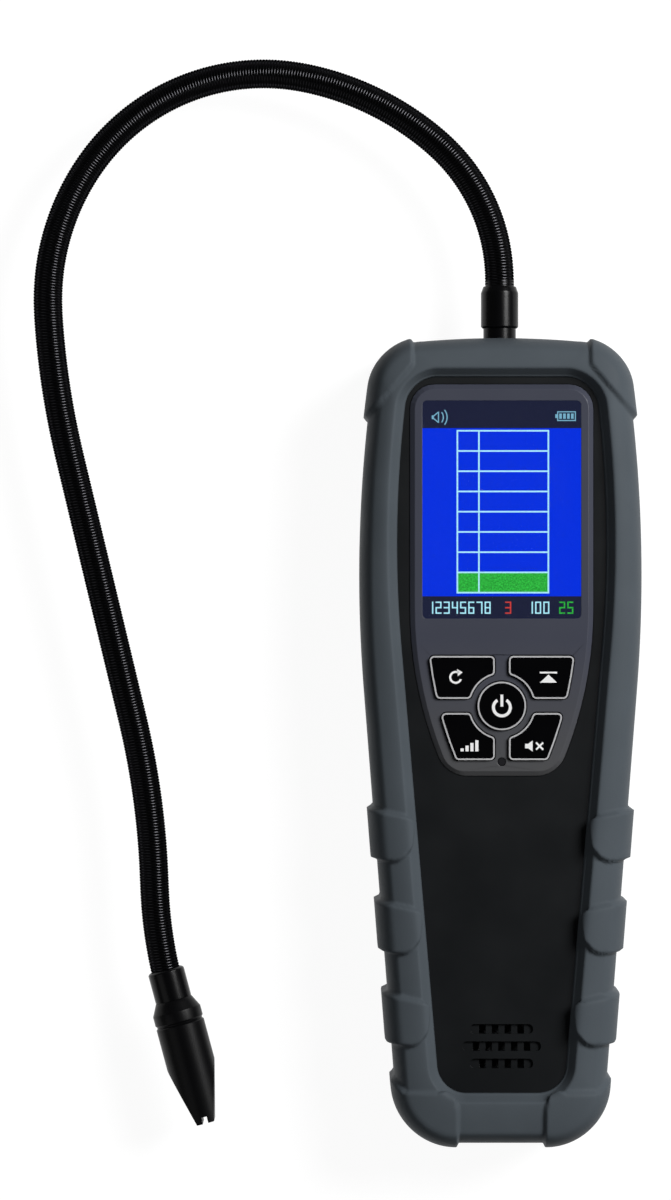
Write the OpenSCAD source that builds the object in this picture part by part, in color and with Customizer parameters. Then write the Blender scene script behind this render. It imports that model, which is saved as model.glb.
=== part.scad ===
// Handheld refrigerant leak detector with a bendable probe.
// It lies on its back: the origin is the centre of the flat back, +Z comes out of the display
// and +Y points to the end that carries the probe. All sizes are in millimetres.

/* [Body] */
// Width over the rubber boot at its widest
body_w = 75.9; // [74:0.1:82]
// Length of the boot without its bumpers
body_len = 215; // [212:0.5:225]
// Thickness from the back to the crest of the rim
body_t = 38; // [37:0.5:44]
// Height on the body of its widest place
widest_y = 44.8; // [38:0.2:52]
// Radius of the long arc through the widest place
flank_arc_r = 390; // [320:5:480]
// Lean of each straight flank below the arc, in degrees
flank_taper = 4.46; // [4:0.02:4.8]
// Radius of the two corners at the speaker end
low_corner_r = 15; // [14:0.5:18]
// Radius of the two corners at the probe end
top_corner_r = 12; // [11:0.5:15]
// Rise of the end that carries the probe
end_crown = 0.9; // [0.3:0.1:2]

/* [Rubber boot] */
// Thickness of the boot's side wall
boot_wall = 3.2; // [2.6:0.1:3.6]
// Width of the round on the outside of the rim
rim_round_w = 4.5; // [4:0.1:5.4]
// Height of the round on the outside of the rim
rim_round_h = 12; // [10:0.5:14]
// Fall of the rim's crest from its inner edge to the round
crest_fall = 0.9; // [0.5:0.1:1.4]
// Width of the rim along the flanks
rim_side = 10.1; // [9.8:0.1:11]
// Width of the rim at the probe end
rim_top = 10; // [9.8:0.1:11]
// Width of the rim at the speaker end
rim_bottom = 14.2; // [12:0.1:15]
// Width of the bevel on the inside of the rim
inner_bevel = 2.9; // [2:0.1:3.4]
// Depth of the black face below the crest of the rim
rim_drop = 3.2; // [2.6:0.1:3.8]
// Reach of the boot over the edge of the back
back_lip = 5.5; // [4.5:0.1:5.8]
// Thickness of the boot on the back
back_lip_t = 1.8; // [1.4:0.1:2.2]
// Radius of the boot's back edge
back_round = 3; // [2:0.1:3.4]
// How far the corner bumpers stand out
bumper_h = 1.3; // [0.8:0.1:1.6]
// How far the side grips stand out
grip_h = 1.8; // [1.3:0.1:2.2]
// Height above the back at which bumpers and grips begin
pad_start_z = 6; // [4:0.5:9]
// Number of grips on each flank
grip_count = 3; // [1:1:3]
// Middle of the first grip
grip_first_y = -24.3; // [-28:0.1:-20]
// Spacing of the grips
grip_pitch = 24.6; // [20:0.1:25]
// Length of a grip along the flank
grip_len = 14.4; // [10:0.1:16]
// Distance of a grip's inner end from the edge of the opening
grip_stop = 1.9; // [1.5:0.1:4]

/* [Case] */
// Wall of the two case halves
case_wall = 2; // [1.6:0.1:2.2]
// Thickness of the front face
deck_t = 2.2; // [2:0.1:2.6]
// Thickness of the back
back_t = 3; // [2.6:0.1:3.4]
// Clearance between pieces that sit tight together
close_fit = 0.1; // [0.05:0.05:0.2]
// Clearance between pieces that slip together
slip_fit = 0.15; // [0.1:0.05:0.2]
// Height of the tongue inside the joint of the halves
tongue_h = 1.5; // [1:0.1:2]
// Distance of the case screws from the ends of the body
case_screw_end = 11; // [10.5:0.1:11.5]
// Distance of the case screws at the probe end from the body's widest line
case_screw_top_in = 16.45; // [15.45:0.05:17.95]
// Distance of the case screws at the speaker end from the body's widest line
case_screw_low_in = 22.45; // [21.95:0.05:23.45]

/* [Faceplate] */
// Black gutter between the opening and the plate's flanks
gutter_side = 3.4; // [3:0.1:4]
// Black gutter above the plate
gutter_top = 1.9; // [1.5:0.1:2.5]
// Length of the faceplate
plate_len = 104.4; // [104:0.2:106]
// Thickness of the faceplate
plate_t = 2; // [1.9:0.1:2.4]
// Depth of the seat that the faceplate lies in
plate_sink = 0.8; // [0.6:0.1:1]
// Width of the bevel around the faceplate
plate_bevel = 1.3; // [0.8:0.1:1.6]
// Radius of the plate's upper corners
plate_top_r = 6.5; // [5:0.5:8]
// Radius of the plate's lower corners
plate_low_r = 5; // [4:0.5:6]
// Radius of the arc by which the plate narrows to the keys
plate_arc_r = 107; // [104:1:120]
// Length of the straight flanks of the plate
plate_straight = 59.6; // [58:0.2:61]

/* [Display] */
// Width of the plate on either side of the window
window_side = 3.3; // [2.95:0.05:4.4]
// Height of the window
window_h = 58.1; // [56:0.1:59]
// Distance of the window from the top of the plate
window_drop = 4.35; // [4:0.05:5]
// Corner radius of the window
window_r = 1.2; // [0.5:0.1:2]
// Thickness of the clear window
window_t = 1.4; // [1.2:0.1:1.5]
// Overlap of the plate on the window's edge
window_lap = 1.6; // [1.2:0.1:1.8]
// Margin of the display panel around the window
panel_lap = 1.9; // [1.7:0.1:2]
// Wall of the metal display frame
frame_t = 1; // [0.8:0.1:1.2]
// Clearance above the display panel
panel_gap = 0.3; // [0.2:0.05:0.5]
// Offset of the panel's middle below the window's
panel_drop = 1; // [0.6:0.1:1.2]

/* [Keys] */
// Diameter of the round power key
power_d = 12.9; // [11:0.1:13.4]
// Height of the power key's middle above the plate's lower edge
power_rise = 18.7; // [18.4:0.1:19]
// Gap between the power key and its neighbours
power_gap = 2.1; // [1.9:0.1:2.6]
// Gap between the left and right keys
key_split = 3.8; // [3.6:0.1:4.4]
// Height of the upper keys above the row gap
key_upper_h = 11.4; // [10:0.1:12]
// Margin of the keys from the plate's edge
key_margin = 4.3; // [4:0.1:4.8]
// Corner radius of the keys
key_r = 1.2; // [0.8:0.1:1.5]
// Travel of a key
key_travel = 0.8; // [0.5:0.1:0.8]
// Height of a pressed key above the plate
key_rest = 0.1; // [0.1:0.05:0.4]
// Clearance around a key
key_fit = 0.3; // [0.2:0.05:0.4]
// Width of the flange that keeps a key in
key_flange = 0.8; // [0.6:0.1:1]
// Thickness of that flange
key_flange_t = 1; // [0.8:0.1:1.2]
// Thickness of the rubber key mat
mat_t = 1.2; // [0.8:0.1:1.5]
// Radius of the mat's buttons
mat_button_r = 3; // [2:0.1:3.4]
// Diameter of the status lamp
lamp_d = 2; // [1.6:0.1:2.4]
// Height of the lamp's middle above the plate's lower edge
lamp_rise = 3.8; // [3.4:0.1:4]

/* [Circuit board] */
// Gap between the front face and the board
board_gap = 6; // [5.6:0.1:6.4]
// Thickness of the board
board_t = 1.6; // [1.2:0.1:1.6]
// Clearance of the board from the case wall
board_edge = 1; // [0.6:0.1:1.6]
// Lower end of the board
board_low_y = -28; // [-30:0.5:-26]
// Half spacing of the board screws at the probe end
board_screw_top_x = 12; // [10.5:0.1:13]
// Distance of the board screws at the speaker end from the body's widest line
board_screw_low_in = 18.95; // [17.95:0.05:21.95]
// Distance of the board screws from the board's lower end
board_screw_end = 5; // [4.5:0.1:6]
// Radius of the small screws' shanks
screw_r = 1.2; // [1:0.1:1.4]
// Radius of the small screws' heads
screw_head_r = 2.2; // [2:0.1:2.5]
// Height of the small screws' heads
screw_head_h = 1.4; // [1:0.1:1.6]
// Radius of the bosses that take the screws
boss_r = 3; // [2.8:0.1:3.2]

/* [Speaker] */
// Diameter of the speaker
speaker_d = 26; // [25:0.5:28]
// Thickness of the speaker
speaker_t = 4.6; // [4:0.1:5]
// Thickness of its foam gasket
gasket_t = 0.8; // [0.5:0.1:1]
// Height of the slots' middle above the lower end of the opening
slot_rise = 12.4; // [11:0.1:13]
// Height of a speaker slot
slot_h = 2.6; // [2:0.1:3]
// Spacing of the slots
slot_pitch = 4.6; // [4.2:0.1:5]
// Length of the middle slot
slot_long = 21; // [19:0.1:22]
// Length of the outer slots
slot_short = 16.8; // [15:0.1:18]
// Spacing of the ribs inside the slots
rib_pitch = 3.4; // [3.2:0.1:3.6]
// Thickness of the ribs inside the slots
rib_t = 1.65; // [1.2:0.05:1.8]
// Depth of the ribs below the face
rib_sink = 0.9; // [0.6:0.1:1.2]

/* [Battery] */
// Diameter of a cell
cell_d = 14.5; // [14:0.1:14.6]
// Length of a cell
cell_len = 50.5; // [49:0.1:52]
// Number of cells
cell_count = 3; // [1:1:3]
// Spacing of the cells
cell_pitch = 14.7; // [14.65:0.05:14.8]
// Middle of the cells
cell_y = -41; // [-42:0.5:-40]
// Room for the contacts at each end of the cells
contact_room = 4; // [3:0.1:4.5]
// Thickness of the contact plates
contact_t = 0.5; // [0.3:0.1:0.6]
// Wall of the battery box
box_wall = 1.2; // [1:0.1:1.3]
// Clearance of the cells in the box
cell_fit = 0.3; // [0.2:0.05:0.35]
// Thickness of the battery door
door_t = 1.6; // [1.4:0.1:1.8]
// Ledge that the door lies on
door_ledge = 1; // [0.8:0.1:1.1]
// Length of the door's screw tabs
door_tab = 6; // [5.6:0.1:6.5]
// Clearance around the door
door_fit = 0.2; // [0.15:0.05:0.3]

/* [Pump] */
// Diameter of the pump's motor
motor_d = 14; // [12:0.5:14]
// Length of the pump's motor
motor_len = 24; // [20:0.5:26]
// Width of the pump's head
pump_w = 22; // [20:0.5:24]
// Length of the pump's head
pump_len = 14; // [12:0.5:15]
// Height of the pump's head
pump_h = 13.6; // [12:0.2:13.8]
// Diameter of the intake tube
tube_d = 5; // [4.6:0.1:5.6]
// Bore of the intake tube
tube_bore = 3.2; // [2.8:0.1:3.4]
// Length of the intake tube
tube_len = 18; // [15:0.5:20]
// Length that the tube is pushed over a nipple
tube_grip = 4; // [3:0.1:5]
// Width of the saddles that carry the motor
saddle_w = 19; // [17:0.5:20]
// Thickness of the saddles
saddle_t = 2; // [1.6:0.1:2.4]

/* [Probe] */
// Height of the probe's axis above the back
neck_z = 17.5; // [17.2:0.1:18]
// Diameter of the bendable neck
neck_d = 8; // [7.8:0.1:8.2]
// Length of the neck's first link
link_1 = 42; // [41:0.1:43]
// Length of the neck's second link
link_2 = 40; // [39:0.1:41]
// Length of the neck's third link
link_3 = 65.5; // [64.5:0.1:66.5]
// Length of the neck's fourth link
link_4 = 43.5; // [42.5:0.1:44.5]
// Length of the neck's fifth link
link_5 = 38.5; // [37.5:0.1:39.5]
// Length of the neck's sixth link
link_6 = 73.4; // [72.4:0.1:74.4]
// Length of the neck's seventh link
link_7 = 45.1; // [44.1:0.1:46.1]
// Length of the neck's last link
link_8 = 27.1; // [26.1:0.1:28.1]
// Diameter of the balls between the neck's links
ball_d = 8.3; // [8.3:0.05:8.6]
// Clearance in the neck's ball joints
ball_fit = 0.3; // [0.25:0.05:0.4]
// Diameter of the stub that the neck stands on
stub_d = 8.8; // [8.6:0.1:9]
// Length of the stub outside the boot
stub_len = 5; // [4.5:0.1:6]
// Diameter of the foot that carries the neck
foot_d = 7.8; // [7.6:0.1:7.8]
// Length of that foot
foot_len = 11; // [10:0.1:12]
// Diameter of the sleeve around the neck's foot
sleeve_d = 10.1; // [9.9:0.1:10.6]
// Length of that sleeve
sleeve_len = 11.3; // [10:0.1:12]
// Length of the taper at the sleeve's end
sleeve_taper = 1.8; // [1:0.1:2.5]
// Distance of the sleeve from the boot
sleeve_gap = 3; // [2.6:0.1:4]
// Diameter of the thread in the case wall
thread_d = 10; // [9.6:0.1:10.4]
// Diameter of the flange against the case
flange_d = 13; // [12.4:0.1:13.6]
// Thickness of that flange
flange_t = 1.5; // [1.2:0.1:1.6]
// Width of the nut across its flats
nut_flats = 12.6; // [12:0.1:12.8]
// Thickness of the nut
nut_t = 3.2; // [2.8:0.1:3.6]
// Thickness of the sealing washer
washer_t = 0.8; // [0.6:0.1:1]

/* [Probe tip] */
// Diameter of the collar on the neck's end
collar_d = 9.9; // [9.6:0.1:10.4]
// Length of the collar
collar_len = 8.4; // [7:0.1:9]
// Depth of the neck in the collar
collar_grip = 4; // [3:0.1:5]
// Diameter of the tip's ring and cap
tip_d = 13.2; // [12.8:0.1:13.6]
// Length of the ring, with its flare
ring_len = 6.5; // [5.5:0.1:7]
// Length of the ring's flare
flare_len = 3.2; // [2.6:0.1:3.8]
// Length of the cap's round part
cap_len = 11.5; // [11:0.1:13]
// Length of the cap's two flat slopes
slope_len = 16; // [14:0.1:18]
// Thickness of the cap's flat end
cap_end = 4.75; // [4.2:0.05:5.5]
// Width of the slot across the end
cap_slot_w = 1.5; // [1:0.05:1.8]
// Depth of that slot
cap_slot_h = 1.8; // [1.2:0.1:2.4]
// Wall of the cap
cap_wall = 1.6; // [1.3:0.1:1.8]
// Diameter of the sensor
sensor_d = 9.2; // [8.4:0.1:9.4]
// Length of the sensor
sensor_len = 6; // [5:0.1:6.5]
// Thickness of the filter
filter_t = 2; // [1.5:0.1:2.5]

/* [Hidden] */

// Small overshoot of cuts past a face
over = 1;
// Facets of true circles
$fn = 64;
// Facets of round ends that blend into the rubber
soft_fn = 24;

boot_rubber = "#3c3d41";
case_black = "#161617";
plate_grey = "#56565e";
key_black = "#1b1b1d";
metal = "#b9bbbe";

// Levels, from the face down
front_z = body_t - rim_drop;
deck_z = front_z - deck_t;
plate_z = front_z - plate_sink;
plate_top_z = plate_z + plate_t;
board_top_z = deck_z - board_gap;
board_z = board_top_z - board_t;
split_z = neck_z;
key_low_z = deck_z - key_fit - key_flange_t;

// Outlines: half width, widest place, arc radius, lean, lower end, upper end, corner radii, crown
body_y = body_len / 2;
boot_line = [body_w / 2, widest_y, flank_arc_r, flank_taper, -body_y, body_y,
             low_corner_r, top_corner_r, end_crown];
// The opening's arc sits higher and turns a little tighter than the boot's own
opening_rise = 8.2;
opening_tighter = 70;
opening_lean = 0.4;
opening_arc_r = flank_arc_r - opening_tighter;
opening_taper = flank_taper + opening_lean;
opening_top_r = 7.5;
opening_low_r = 7;
opening_w = body_w - 2 * rim_side;
opening_top = body_y - rim_top;
opening_low = rim_bottom - body_y;
opening_line = [opening_w / 2, widest_y + opening_rise, opening_arc_r, opening_taper,
                opening_low, opening_top, opening_low_r, opening_top_r, 0];

// Faceplate, display and keys
plate_w = opening_w - 2 * gutter_side;
plate_top = opening_top - gutter_top;
plate_low = plate_top - plate_len;
window_w = plate_w - 2 * window_side;
window_y = plate_top - window_drop - window_h / 2;
window_edge_r = window_r + window_lap;
panel_y = window_y - panel_drop;
panel_w = window_w + 2 * panel_lap;
panel_h = window_h + 2 * panel_lap;
power_y = plate_low + power_rise;
power_clear_r = power_d / 2 + power_gap;
row_gap = key_split;
key_upper_y = power_y + row_gap / 2 + key_upper_h;
key_proud = key_travel + key_rest;
lamp_y = plate_low + lamp_rise;

// Case: growth of its outer and inner outline against the boot's
case_in = boot_wall + close_fit;
room_in = case_in + case_wall;
room_top = body_y - room_in;
field_in = back_lip + close_fit;
screw_hole_r = screw_r + close_fit;
case_screw_top_x = body_w / 2 - case_screw_top_in;
case_screw_low_x = body_w / 2 - case_screw_low_in;
case_screw_top_y = body_y - case_screw_end;
case_screw_low_y = case_screw_end - body_y;
case_screws_at = [[case_screw_top_x, case_screw_top_y], [-case_screw_top_x, case_screw_top_y],
                  [case_screw_low_x, case_screw_low_y], [-case_screw_low_x, case_screw_low_y]];
case_screw_sink = 6;
case_screw_len = 18;
boss_gap = 1;
board_screw_top_y = room_top - boss_r - boss_gap;
board_screw_low_x = body_w / 2 - board_screw_low_in;
board_screw_low_y = board_low_y + board_screw_end;
board_screws_at = [[board_screw_top_x, board_screw_top_y], [-board_screw_top_x, board_screw_top_y],
                   [board_screw_low_x, board_screw_low_y], [-board_screw_low_x, board_screw_low_y]];
board_screw_len = 5;

// Battery
slot_y = opening_low + slot_rise;
cells_half = (cell_count - 1) * cell_pitch / 2 + cell_d / 2 + cell_fit;
cell_z = back_t + cell_fit + cell_d / 2;
box_low_y = cell_y - cell_len / 2 - contact_room;
box_top_y = cell_y + cell_len / 2 + contact_room;
box_z = cell_z + cell_d / 2 + cell_fit;
door_half = cells_half + door_ledge;
door_low_y = box_low_y - door_tab;
door_top_y = box_top_y + door_tab;
door_screws_at = [[0, door_low_y + door_tab / 2], [0, door_top_y - door_tab / 2]];
door_screw_len = 8;
door_boss_h = 6;

// Probe foot, along +Y from inside the case
wall_out_y = body_y - case_in + end_crown;
wall_in_y = room_top + end_crown;
stub_top_y = body_y + end_crown + stub_len;
washer_y = wall_in_y - washer_t;
nut_y = washer_y - nut_t;
thread_spare = 2;
thread_low_y = nut_y - thread_spare;
nipple_d = tube_bore - close_fit;
air_bore = nipple_d / 2;
pump_top_y = thread_low_y - tube_len;
motor_top_y = pump_top_y - pump_len;
motor_low_y = motor_top_y - motor_len;

// Course of the neck's middle line: a length and a left turn in degrees, link by link
neck_course = [[link_1, 49], [link_2, 29.5], [link_3, 66], [link_4, 39], [link_5, 10],
               [link_6, 0], [link_7, -11.95], [link_8, 13.45]];
neck_start = [0, stub_top_y + foot_len, 90];

// Position and heading after one straight or arc of the course
function step_on(at, leg) =
    let (turn = leg[1], reach = leg[0])
    turn == 0
    ? [at[0] + reach * cos(at[2]), at[1] + reach * sin(at[2]), at[2]]
    : let (r = reach / (turn * PI / 180))
      [at[0] + r * (sin(at[2] + turn) - sin(at[2])),
       at[1] - r * (cos(at[2] + turn) - cos(at[2])), at[2] + turn];

// Position and heading at the start of a link
function link_start(i) = i == 0 ? neck_start : step_on(link_start(i - 1), neck_course[i - 1]);

tip_start = link_start(len(neck_course));

// Half width of an outline at height y: straight below, one long arc through its widest place
function flank(line, y) =
    let (join_y = line[1] - line[2] * sin(line[3]))
    y < join_y
    ? line[0] - line[2] * (1 - cos(line[3])) - (join_y - y) * tan(line[3])
    : line[0] - line[2] + sqrt(pow(line[2], 2) - pow(y - line[1], 2));

// How far a corner of radius r pulls the flank in at distance d from the end
function corner(d, r) = d >= r ? 0 : r - sqrt(max(0, r * r - pow(r - d, 2)));

// The same outline moved outward by g
least_r = 0.5;
function grown(line, g) = [line[0] + g, line[1], line[2], line[3], line[4] - g, line[5] + g,
                           max(least_r, line[6] + g), max(least_r, line[7] + g), line[8]];

// Heights at which an outline has points: close in the corners, wide along the flanks
corner_step = 15;
flank_steps = 9;
function heights(line) =
    concat([for (a = [0:corner_step:90]) line[4] + line[6] * (1 - cos(a))],
           [for (i = [1:flank_steps])
                let (low = line[4] + line[6], high = line[5] - line[7])
                low + (high - low) * i / (flank_steps + 1)],
           [for (a = [90:-corner_step:0]) line[5] - line[7] * (1 - cos(a))]);

function half_points(line) =
    [for (y = heights(line))
        [flank(line, y) - corner(y - line[4], line[6]) - corner(line[5] - y, line[7]), y]];

// Closed outline, counterclockwise, with a crowned upper end
crown_steps = 6;
function closed(line) =
    let (right = half_points(line), last = right[len(right) - 1])
    concat(right,
           [for (i = [1:crown_steps - 1])
                let (t = 1 - 2 * i / crown_steps)
                [last[0] * t, last[1] + line[8] * (1 - t * t)]],
           [for (i = [len(right) - 1:-1:0]) [-right[i][0], right[i][1]]]);

function outline(line, g = 0) = closed(grown(line, g));

// Solid through a stack of outlines: rings of points from the lowest to the highest
module loft(rings) {
    n = len(rings[0]);
    points = [for (ring = rings) for (p = ring) p];
    walls = [for (j = [0:len(rings) - 2]) for (i = [0:n - 1])
                [j * n + i, (j + 1) * n + i, (j + 1) * n + (i + 1) % n, j * n + (i + 1) % n]];
    floor_face = [for (i = [0:n - 1]) i];
    roof_face = [for (i = [n - 1:-1:0]) (len(rings) - 1) * n + i];
    polyhedron(points = points, faces = concat([floor_face], walls, [roof_face]), convexity = 6);
}

function at_z(flat, z) = [for (p = flat) [p[0], p[1], z]];

// Outer form of the boot, with everything moved outward by g
round_step = 15;
crest_in = rim_side - inner_bevel;
module boot_form(g) {
    lift = (body_t + g) / body_t;
    round_z = body_t - crest_fall - rim_round_h;
    loft(concat(
        [for (a = [0:2 * round_step:90])
            at_z(outline(boot_line, g - back_round * (1 - sin(a))), back_round * (1 - cos(a)))],
        [for (a = [0:round_step:75])
            at_z(outline(boot_line, g - rim_round_w * (1 - cos(a))),
                 lift * (round_z + rim_round_h * sin(a)))],
        [at_z(outline(boot_line, g - crest_in), lift * body_t)]));
}

// Plan of a corner bumper at the probe end, drawn on the right
bumper_reach = 12;
top_bumper_r = 2;
top_bumper_x = 7.2;
top_bumper_y = 6;
top_bumper_len = 17;
top_bumper_drop = 10;
module top_bumper_plan(margin) {
    x = flank(boot_line, body_y);
    hull() {
        for (p = [[-top_bumper_x, -top_bumper_y], [-top_bumper_x, bumper_reach],
                  [top_bumper_r, -top_bumper_len], [bumper_reach, -top_bumper_len - top_bumper_drop]])
            translate([x + p[0], body_y + p[1]])
                circle(top_bumper_r + margin, $fn = soft_fn);
    }
}

// Plan of a corner bumper at the speaker end, drawn on the right: straight over the crest, then
// rising along the flank
low_bumper_r = 5;
low_bumper_end_r = 1.6;
low_bumper_x = 10.6;
low_bumper_y = 9.6;
low_bumper_bend = 1.2;
low_bumper_rise = 13;
module low_bumper_plan(margin) {
    x = flank(boot_line, -body_y);
    end_y = low_bumper_y + low_bumper_r - low_bumper_end_r - body_y;
    hull() {
        for (y = [low_bumper_y, -bumper_reach])
            translate([x - low_bumper_x, y - body_y])
                circle(low_bumper_r + margin, $fn = soft_fn);
        translate([x + bumper_reach, end_y])
            circle(low_bumper_end_r + margin, $fn = soft_fn);
    }
    hull() {
        for (p = [[-low_bumper_bend, 0], [bumper_reach, 0], [bumper_reach, low_bumper_rise]])
            translate([x + p[0], end_y + p[1]])
                circle(low_bumper_end_r + margin, $fn = soft_fn);
    }
}

// Plan of a side grip, drawn on the right: small upper corner, large lower corner
grip_slant = 2;
grip_top_r = 2.6;
grip_low_r = 4.5;
module grip_plan(i, margin) {
    y = grip_first_y - i * grip_pitch;
    inner = flank(opening_line, y) + grip_stop;
    outer = inner + rim_side + bumper_reach;
    hull() {
        translate([inner + grip_top_r, y + grip_len / 2 - grip_slant - grip_top_r])
            circle(grip_top_r + margin, $fn = soft_fn);
        translate([inner + grip_low_r, y - grip_len / 2 + grip_low_r])
            circle(grip_low_r + margin, $fn = soft_fn);
        translate([outer, y + grip_len / 2 - grip_top_r + grip_slant])
            circle(grip_top_r + margin, $fn = soft_fn);
        translate([outer, y - grip_len / 2 + grip_low_r + grip_slant])
            circle(grip_low_r + margin, $fn = soft_fn);
    }
}

module bumpers_plan(margin) {
    for (side = [0, 1]) {
        mirror([side, 0]) {
            top_bumper_plan(margin);
            low_bumper_plan(margin);
        }
    }
}

module grips_plan(margin) {
    for (side = [0, 1]) {
        mirror([side, 0]) {
            for (i = [0:grip_count - 1])
                grip_plan(i, margin);
        }
    }
}

// The boot's form moved outward by h, over a plan
pad_top = max(bumper_h, grip_h);
module pad_layer(h, margin) {
    intersection() {
        boot_form(h);
        translate([0, 0, pad_start_z - margin])
            linear_extrude(body_t + 2 * pad_top)
                children();
    }
}

// Raised pads in two steps, so that their edges are bevelled
pad_bevel = 0.7;
module pads() {
    for (stage = [[1, 0], [0.5, pad_bevel]]) {
        pad_layer(stage[0] * bumper_h, stage[1])
            bumpers_plan(stage[1]);
        pad_layer(stage[0] * grip_h, stage[1])
            grips_plan(stage[1]);
    }
}

// Hollow of the front opening: a bevel up to the crest, with a small edge
rim_edge = 0.8;
module rim_hollow() {
    rise = body_t + pad_top + over;
    loft([at_z(outline(opening_line), front_z - over),
          at_z(outline(opening_line), front_z),
          at_z(outline(opening_line, inner_bevel - rim_edge), body_t - rim_edge / 2),
          at_z(outline(opening_line, inner_bevel), body_t),
          at_z(outline(opening_line, inner_bevel + pad_top), body_t + pad_top),
          at_z(outline(opening_line, inner_bevel + pad_top), rise)]);
}

module along_y(y, z = neck_z) {
    translate([0, y, z])
        rotate([-90, 0, 0])
            children();
}

module rubber_boot() {
    color(boot_rubber)
        difference() {
            union() {
                boot_form(0);
                pads();
            }
            rim_hollow();
            translate([0, 0, back_lip_t])
                linear_extrude(front_z - back_lip_t + close_fit)
                    polygon(outline(boot_line, -boot_wall));
            translate([0, 0, -over])
                linear_extrude(back_lip_t + 2 * over)
                    polygon(outline(boot_line, -back_lip));
            door_seat();
            along_y(wall_out_y - over)
                cylinder(h = flange_t + over + slip_fit + close_fit, d = flange_d + 2 * slip_fit);
            along_y(wall_out_y)
                cylinder(h = boot_wall + 3 * over, d = stub_d + 2 * slip_fit);
        }
}

// Faceplate outline: straight flanks above, one arc that narrows to the keys below
function plate_line(g) =
    let (half = plate_w / 2, bend_y = plate_top - plate_straight, top = plate_top + g,
         low = plate_low - g, top_r = max(least_r, plate_top_r + g), low_r = max(least_r, plate_low_r + g),
         side = function (y) y > bend_y ? half + g
                : half + g - plate_arc_r + sqrt(pow(plate_arc_r, 2) - pow(bend_y - y, 2)),
         ys = concat([for (a = [0:corner_step:90]) low + low_r * (1 - cos(a))],
                     [for (i = [1:flank_steps])
                        low + low_r + (bend_y - low - low_r) * i / flank_steps],
                     [for (a = [90:-corner_step:0]) top - top_r * (1 - cos(a))]),
         right = [for (y = ys) [side(y) - corner(y - low, low_r) - corner(top - y, top_r), y]])
    concat(right, [for (i = [len(right) - 1:-1:0]) [-right[i][0], right[i][1]]]);

module rounded(w, h, r) {
    for (x = [-1, 1], y = [-1, 1])
        translate([x * (w / 2 - r), y * (h / 2 - r)])
            circle(r);
    square([w - 2 * r, h], center = true);
    square([w, h - 2 * r], center = true);
}

// Plan of one of the four keys around the power key; row is 1 above and -1 below
module corner_key_plan(side, row, margin = 0) {
    low = plate_low + key_margin;
    y0 = row > 0 ? power_y + row_gap / 2 : low;
    y1 = row > 0 ? key_upper_y : power_y - row_gap / 2;
    offset(key_r + margin)
        offset(-key_r)
            difference() {
                intersection() {
                    polygon(plate_line(-key_margin));
                    translate([side > 0 ? key_split / 2 : -plate_w, y0])
                        square([plate_w - key_split / 2, y1 - y0]);
                }
                translate([0, power_y])
                    circle(power_clear_r);
            }
}

corner_keys = [[-1, 1], [1, 1], [-1, -1], [1, -1]];
button_out = 8.8;
corner_key_x = key_split / 2 + button_out;
function key_middle(key) =
    [key[0] * corner_key_x, power_y + key[1] * (row_gap / 2 + key_upper_h / 2)];

module key_plans(margin) {
    for (key = corner_keys)
        corner_key_plan(key[0], key[1], margin);
    translate([0, power_y])
        circle(power_d / 2 + margin);
}

module front_case() {
    color(case_black)
        difference() {
            union() {
                difference() {
                    translate([0, 0, split_z])
                        linear_extrude(front_z - split_z)
                            polygon(outline(boot_line, -case_in));
                    translate([0, 0, split_z - over])
                        linear_extrude(deck_z - split_z + over)
                            polygon(outline(boot_line, -room_in));
                }
                for (p = case_screws_at)
                    translate([p[0], p[1], split_z])
                        cylinder(h = deck_z - split_z + deck_t / 2, r = boss_r);
                for (p = board_screws_at)
                    translate([p[0], p[1], board_top_z])
                        cylinder(h = board_gap + deck_t / 2, r = boss_r);
                translate([0, slot_y, deck_z - gasket_t - speaker_t])
                    difference() {
                        cylinder(h = gasket_t + speaker_t + deck_t / 2,
                                 d = speaker_d + 2 * slip_fit + 2 * case_wall);
                        translate([0, 0, -over])
                            cylinder(h = gasket_t + speaker_t + over, d = speaker_d + 2 * slip_fit);
                    }
            }
            front_case_cuts();
        }
}

module front_case_cuts() {
    translate([0, 0, plate_z])
        linear_extrude(plate_sink + over)
            polygon(plate_line(slip_fit));
    translate([0, window_y, deck_z - over])
        linear_extrude(deck_t + 2 * over)
            square([window_w + over, window_h + over], center = true);
    translate([0, 0, deck_z - over])
        linear_extrude(deck_t + 2 * over)
            key_plans(key_fit);
    translate([0, lamp_y, deck_z - over])
        cylinder(h = deck_t + 2 * over, d = lamp_d + 2 * slip_fit);
    for (p = case_screws_at)
        translate([p[0], p[1], split_z - over])
            cylinder(h = case_screw_sink + case_screw_len - split_z + 2 * over, r = screw_hole_r);
    for (p = board_screws_at)
        translate([p[0], p[1], board_top_z - over])
            cylinder(h = board_screw_len + over, r = screw_hole_r);
    neck_hole();
    for (row = [-1:1])
        speaker_slot(row);
}

// Hole for the probe's thread, half in each shell, with a flat seat for its washer
module neck_hole() {
    along_y(wall_in_y - 2 * over)
        cylinder(h = case_wall + 4 * over, d = thread_d + 2 * slip_fit);
    along_y(wall_in_y - 2 * over)
        cylinder(h = 2 * over, d = nut_flats + 2 * slip_fit);
}

// One speaker slot: open to the depth of its ribs, then a row of holes between them
module speaker_slot(row) {
    slot_end_r = slot_h / 2.1;
    length = row == 0 ? slot_long : slot_short;
    holes = floor((length - slot_h / 2) / rib_pitch);
    translate([0, slot_y + row * slot_pitch, 0]) {
        translate([0, 0, front_z - rib_sink])
            linear_extrude(rib_sink + over)
                rounded(length, slot_h, slot_end_r);
        for (i = [0:holes - 1])
            translate([(i - (holes - 1) / 2) * rib_pitch - (rib_pitch - rib_t) / 2,
                       -slot_h / 2, deck_z - over])
                cube([rib_pitch - rib_t, slot_h, deck_t + over]);
    }
}

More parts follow.
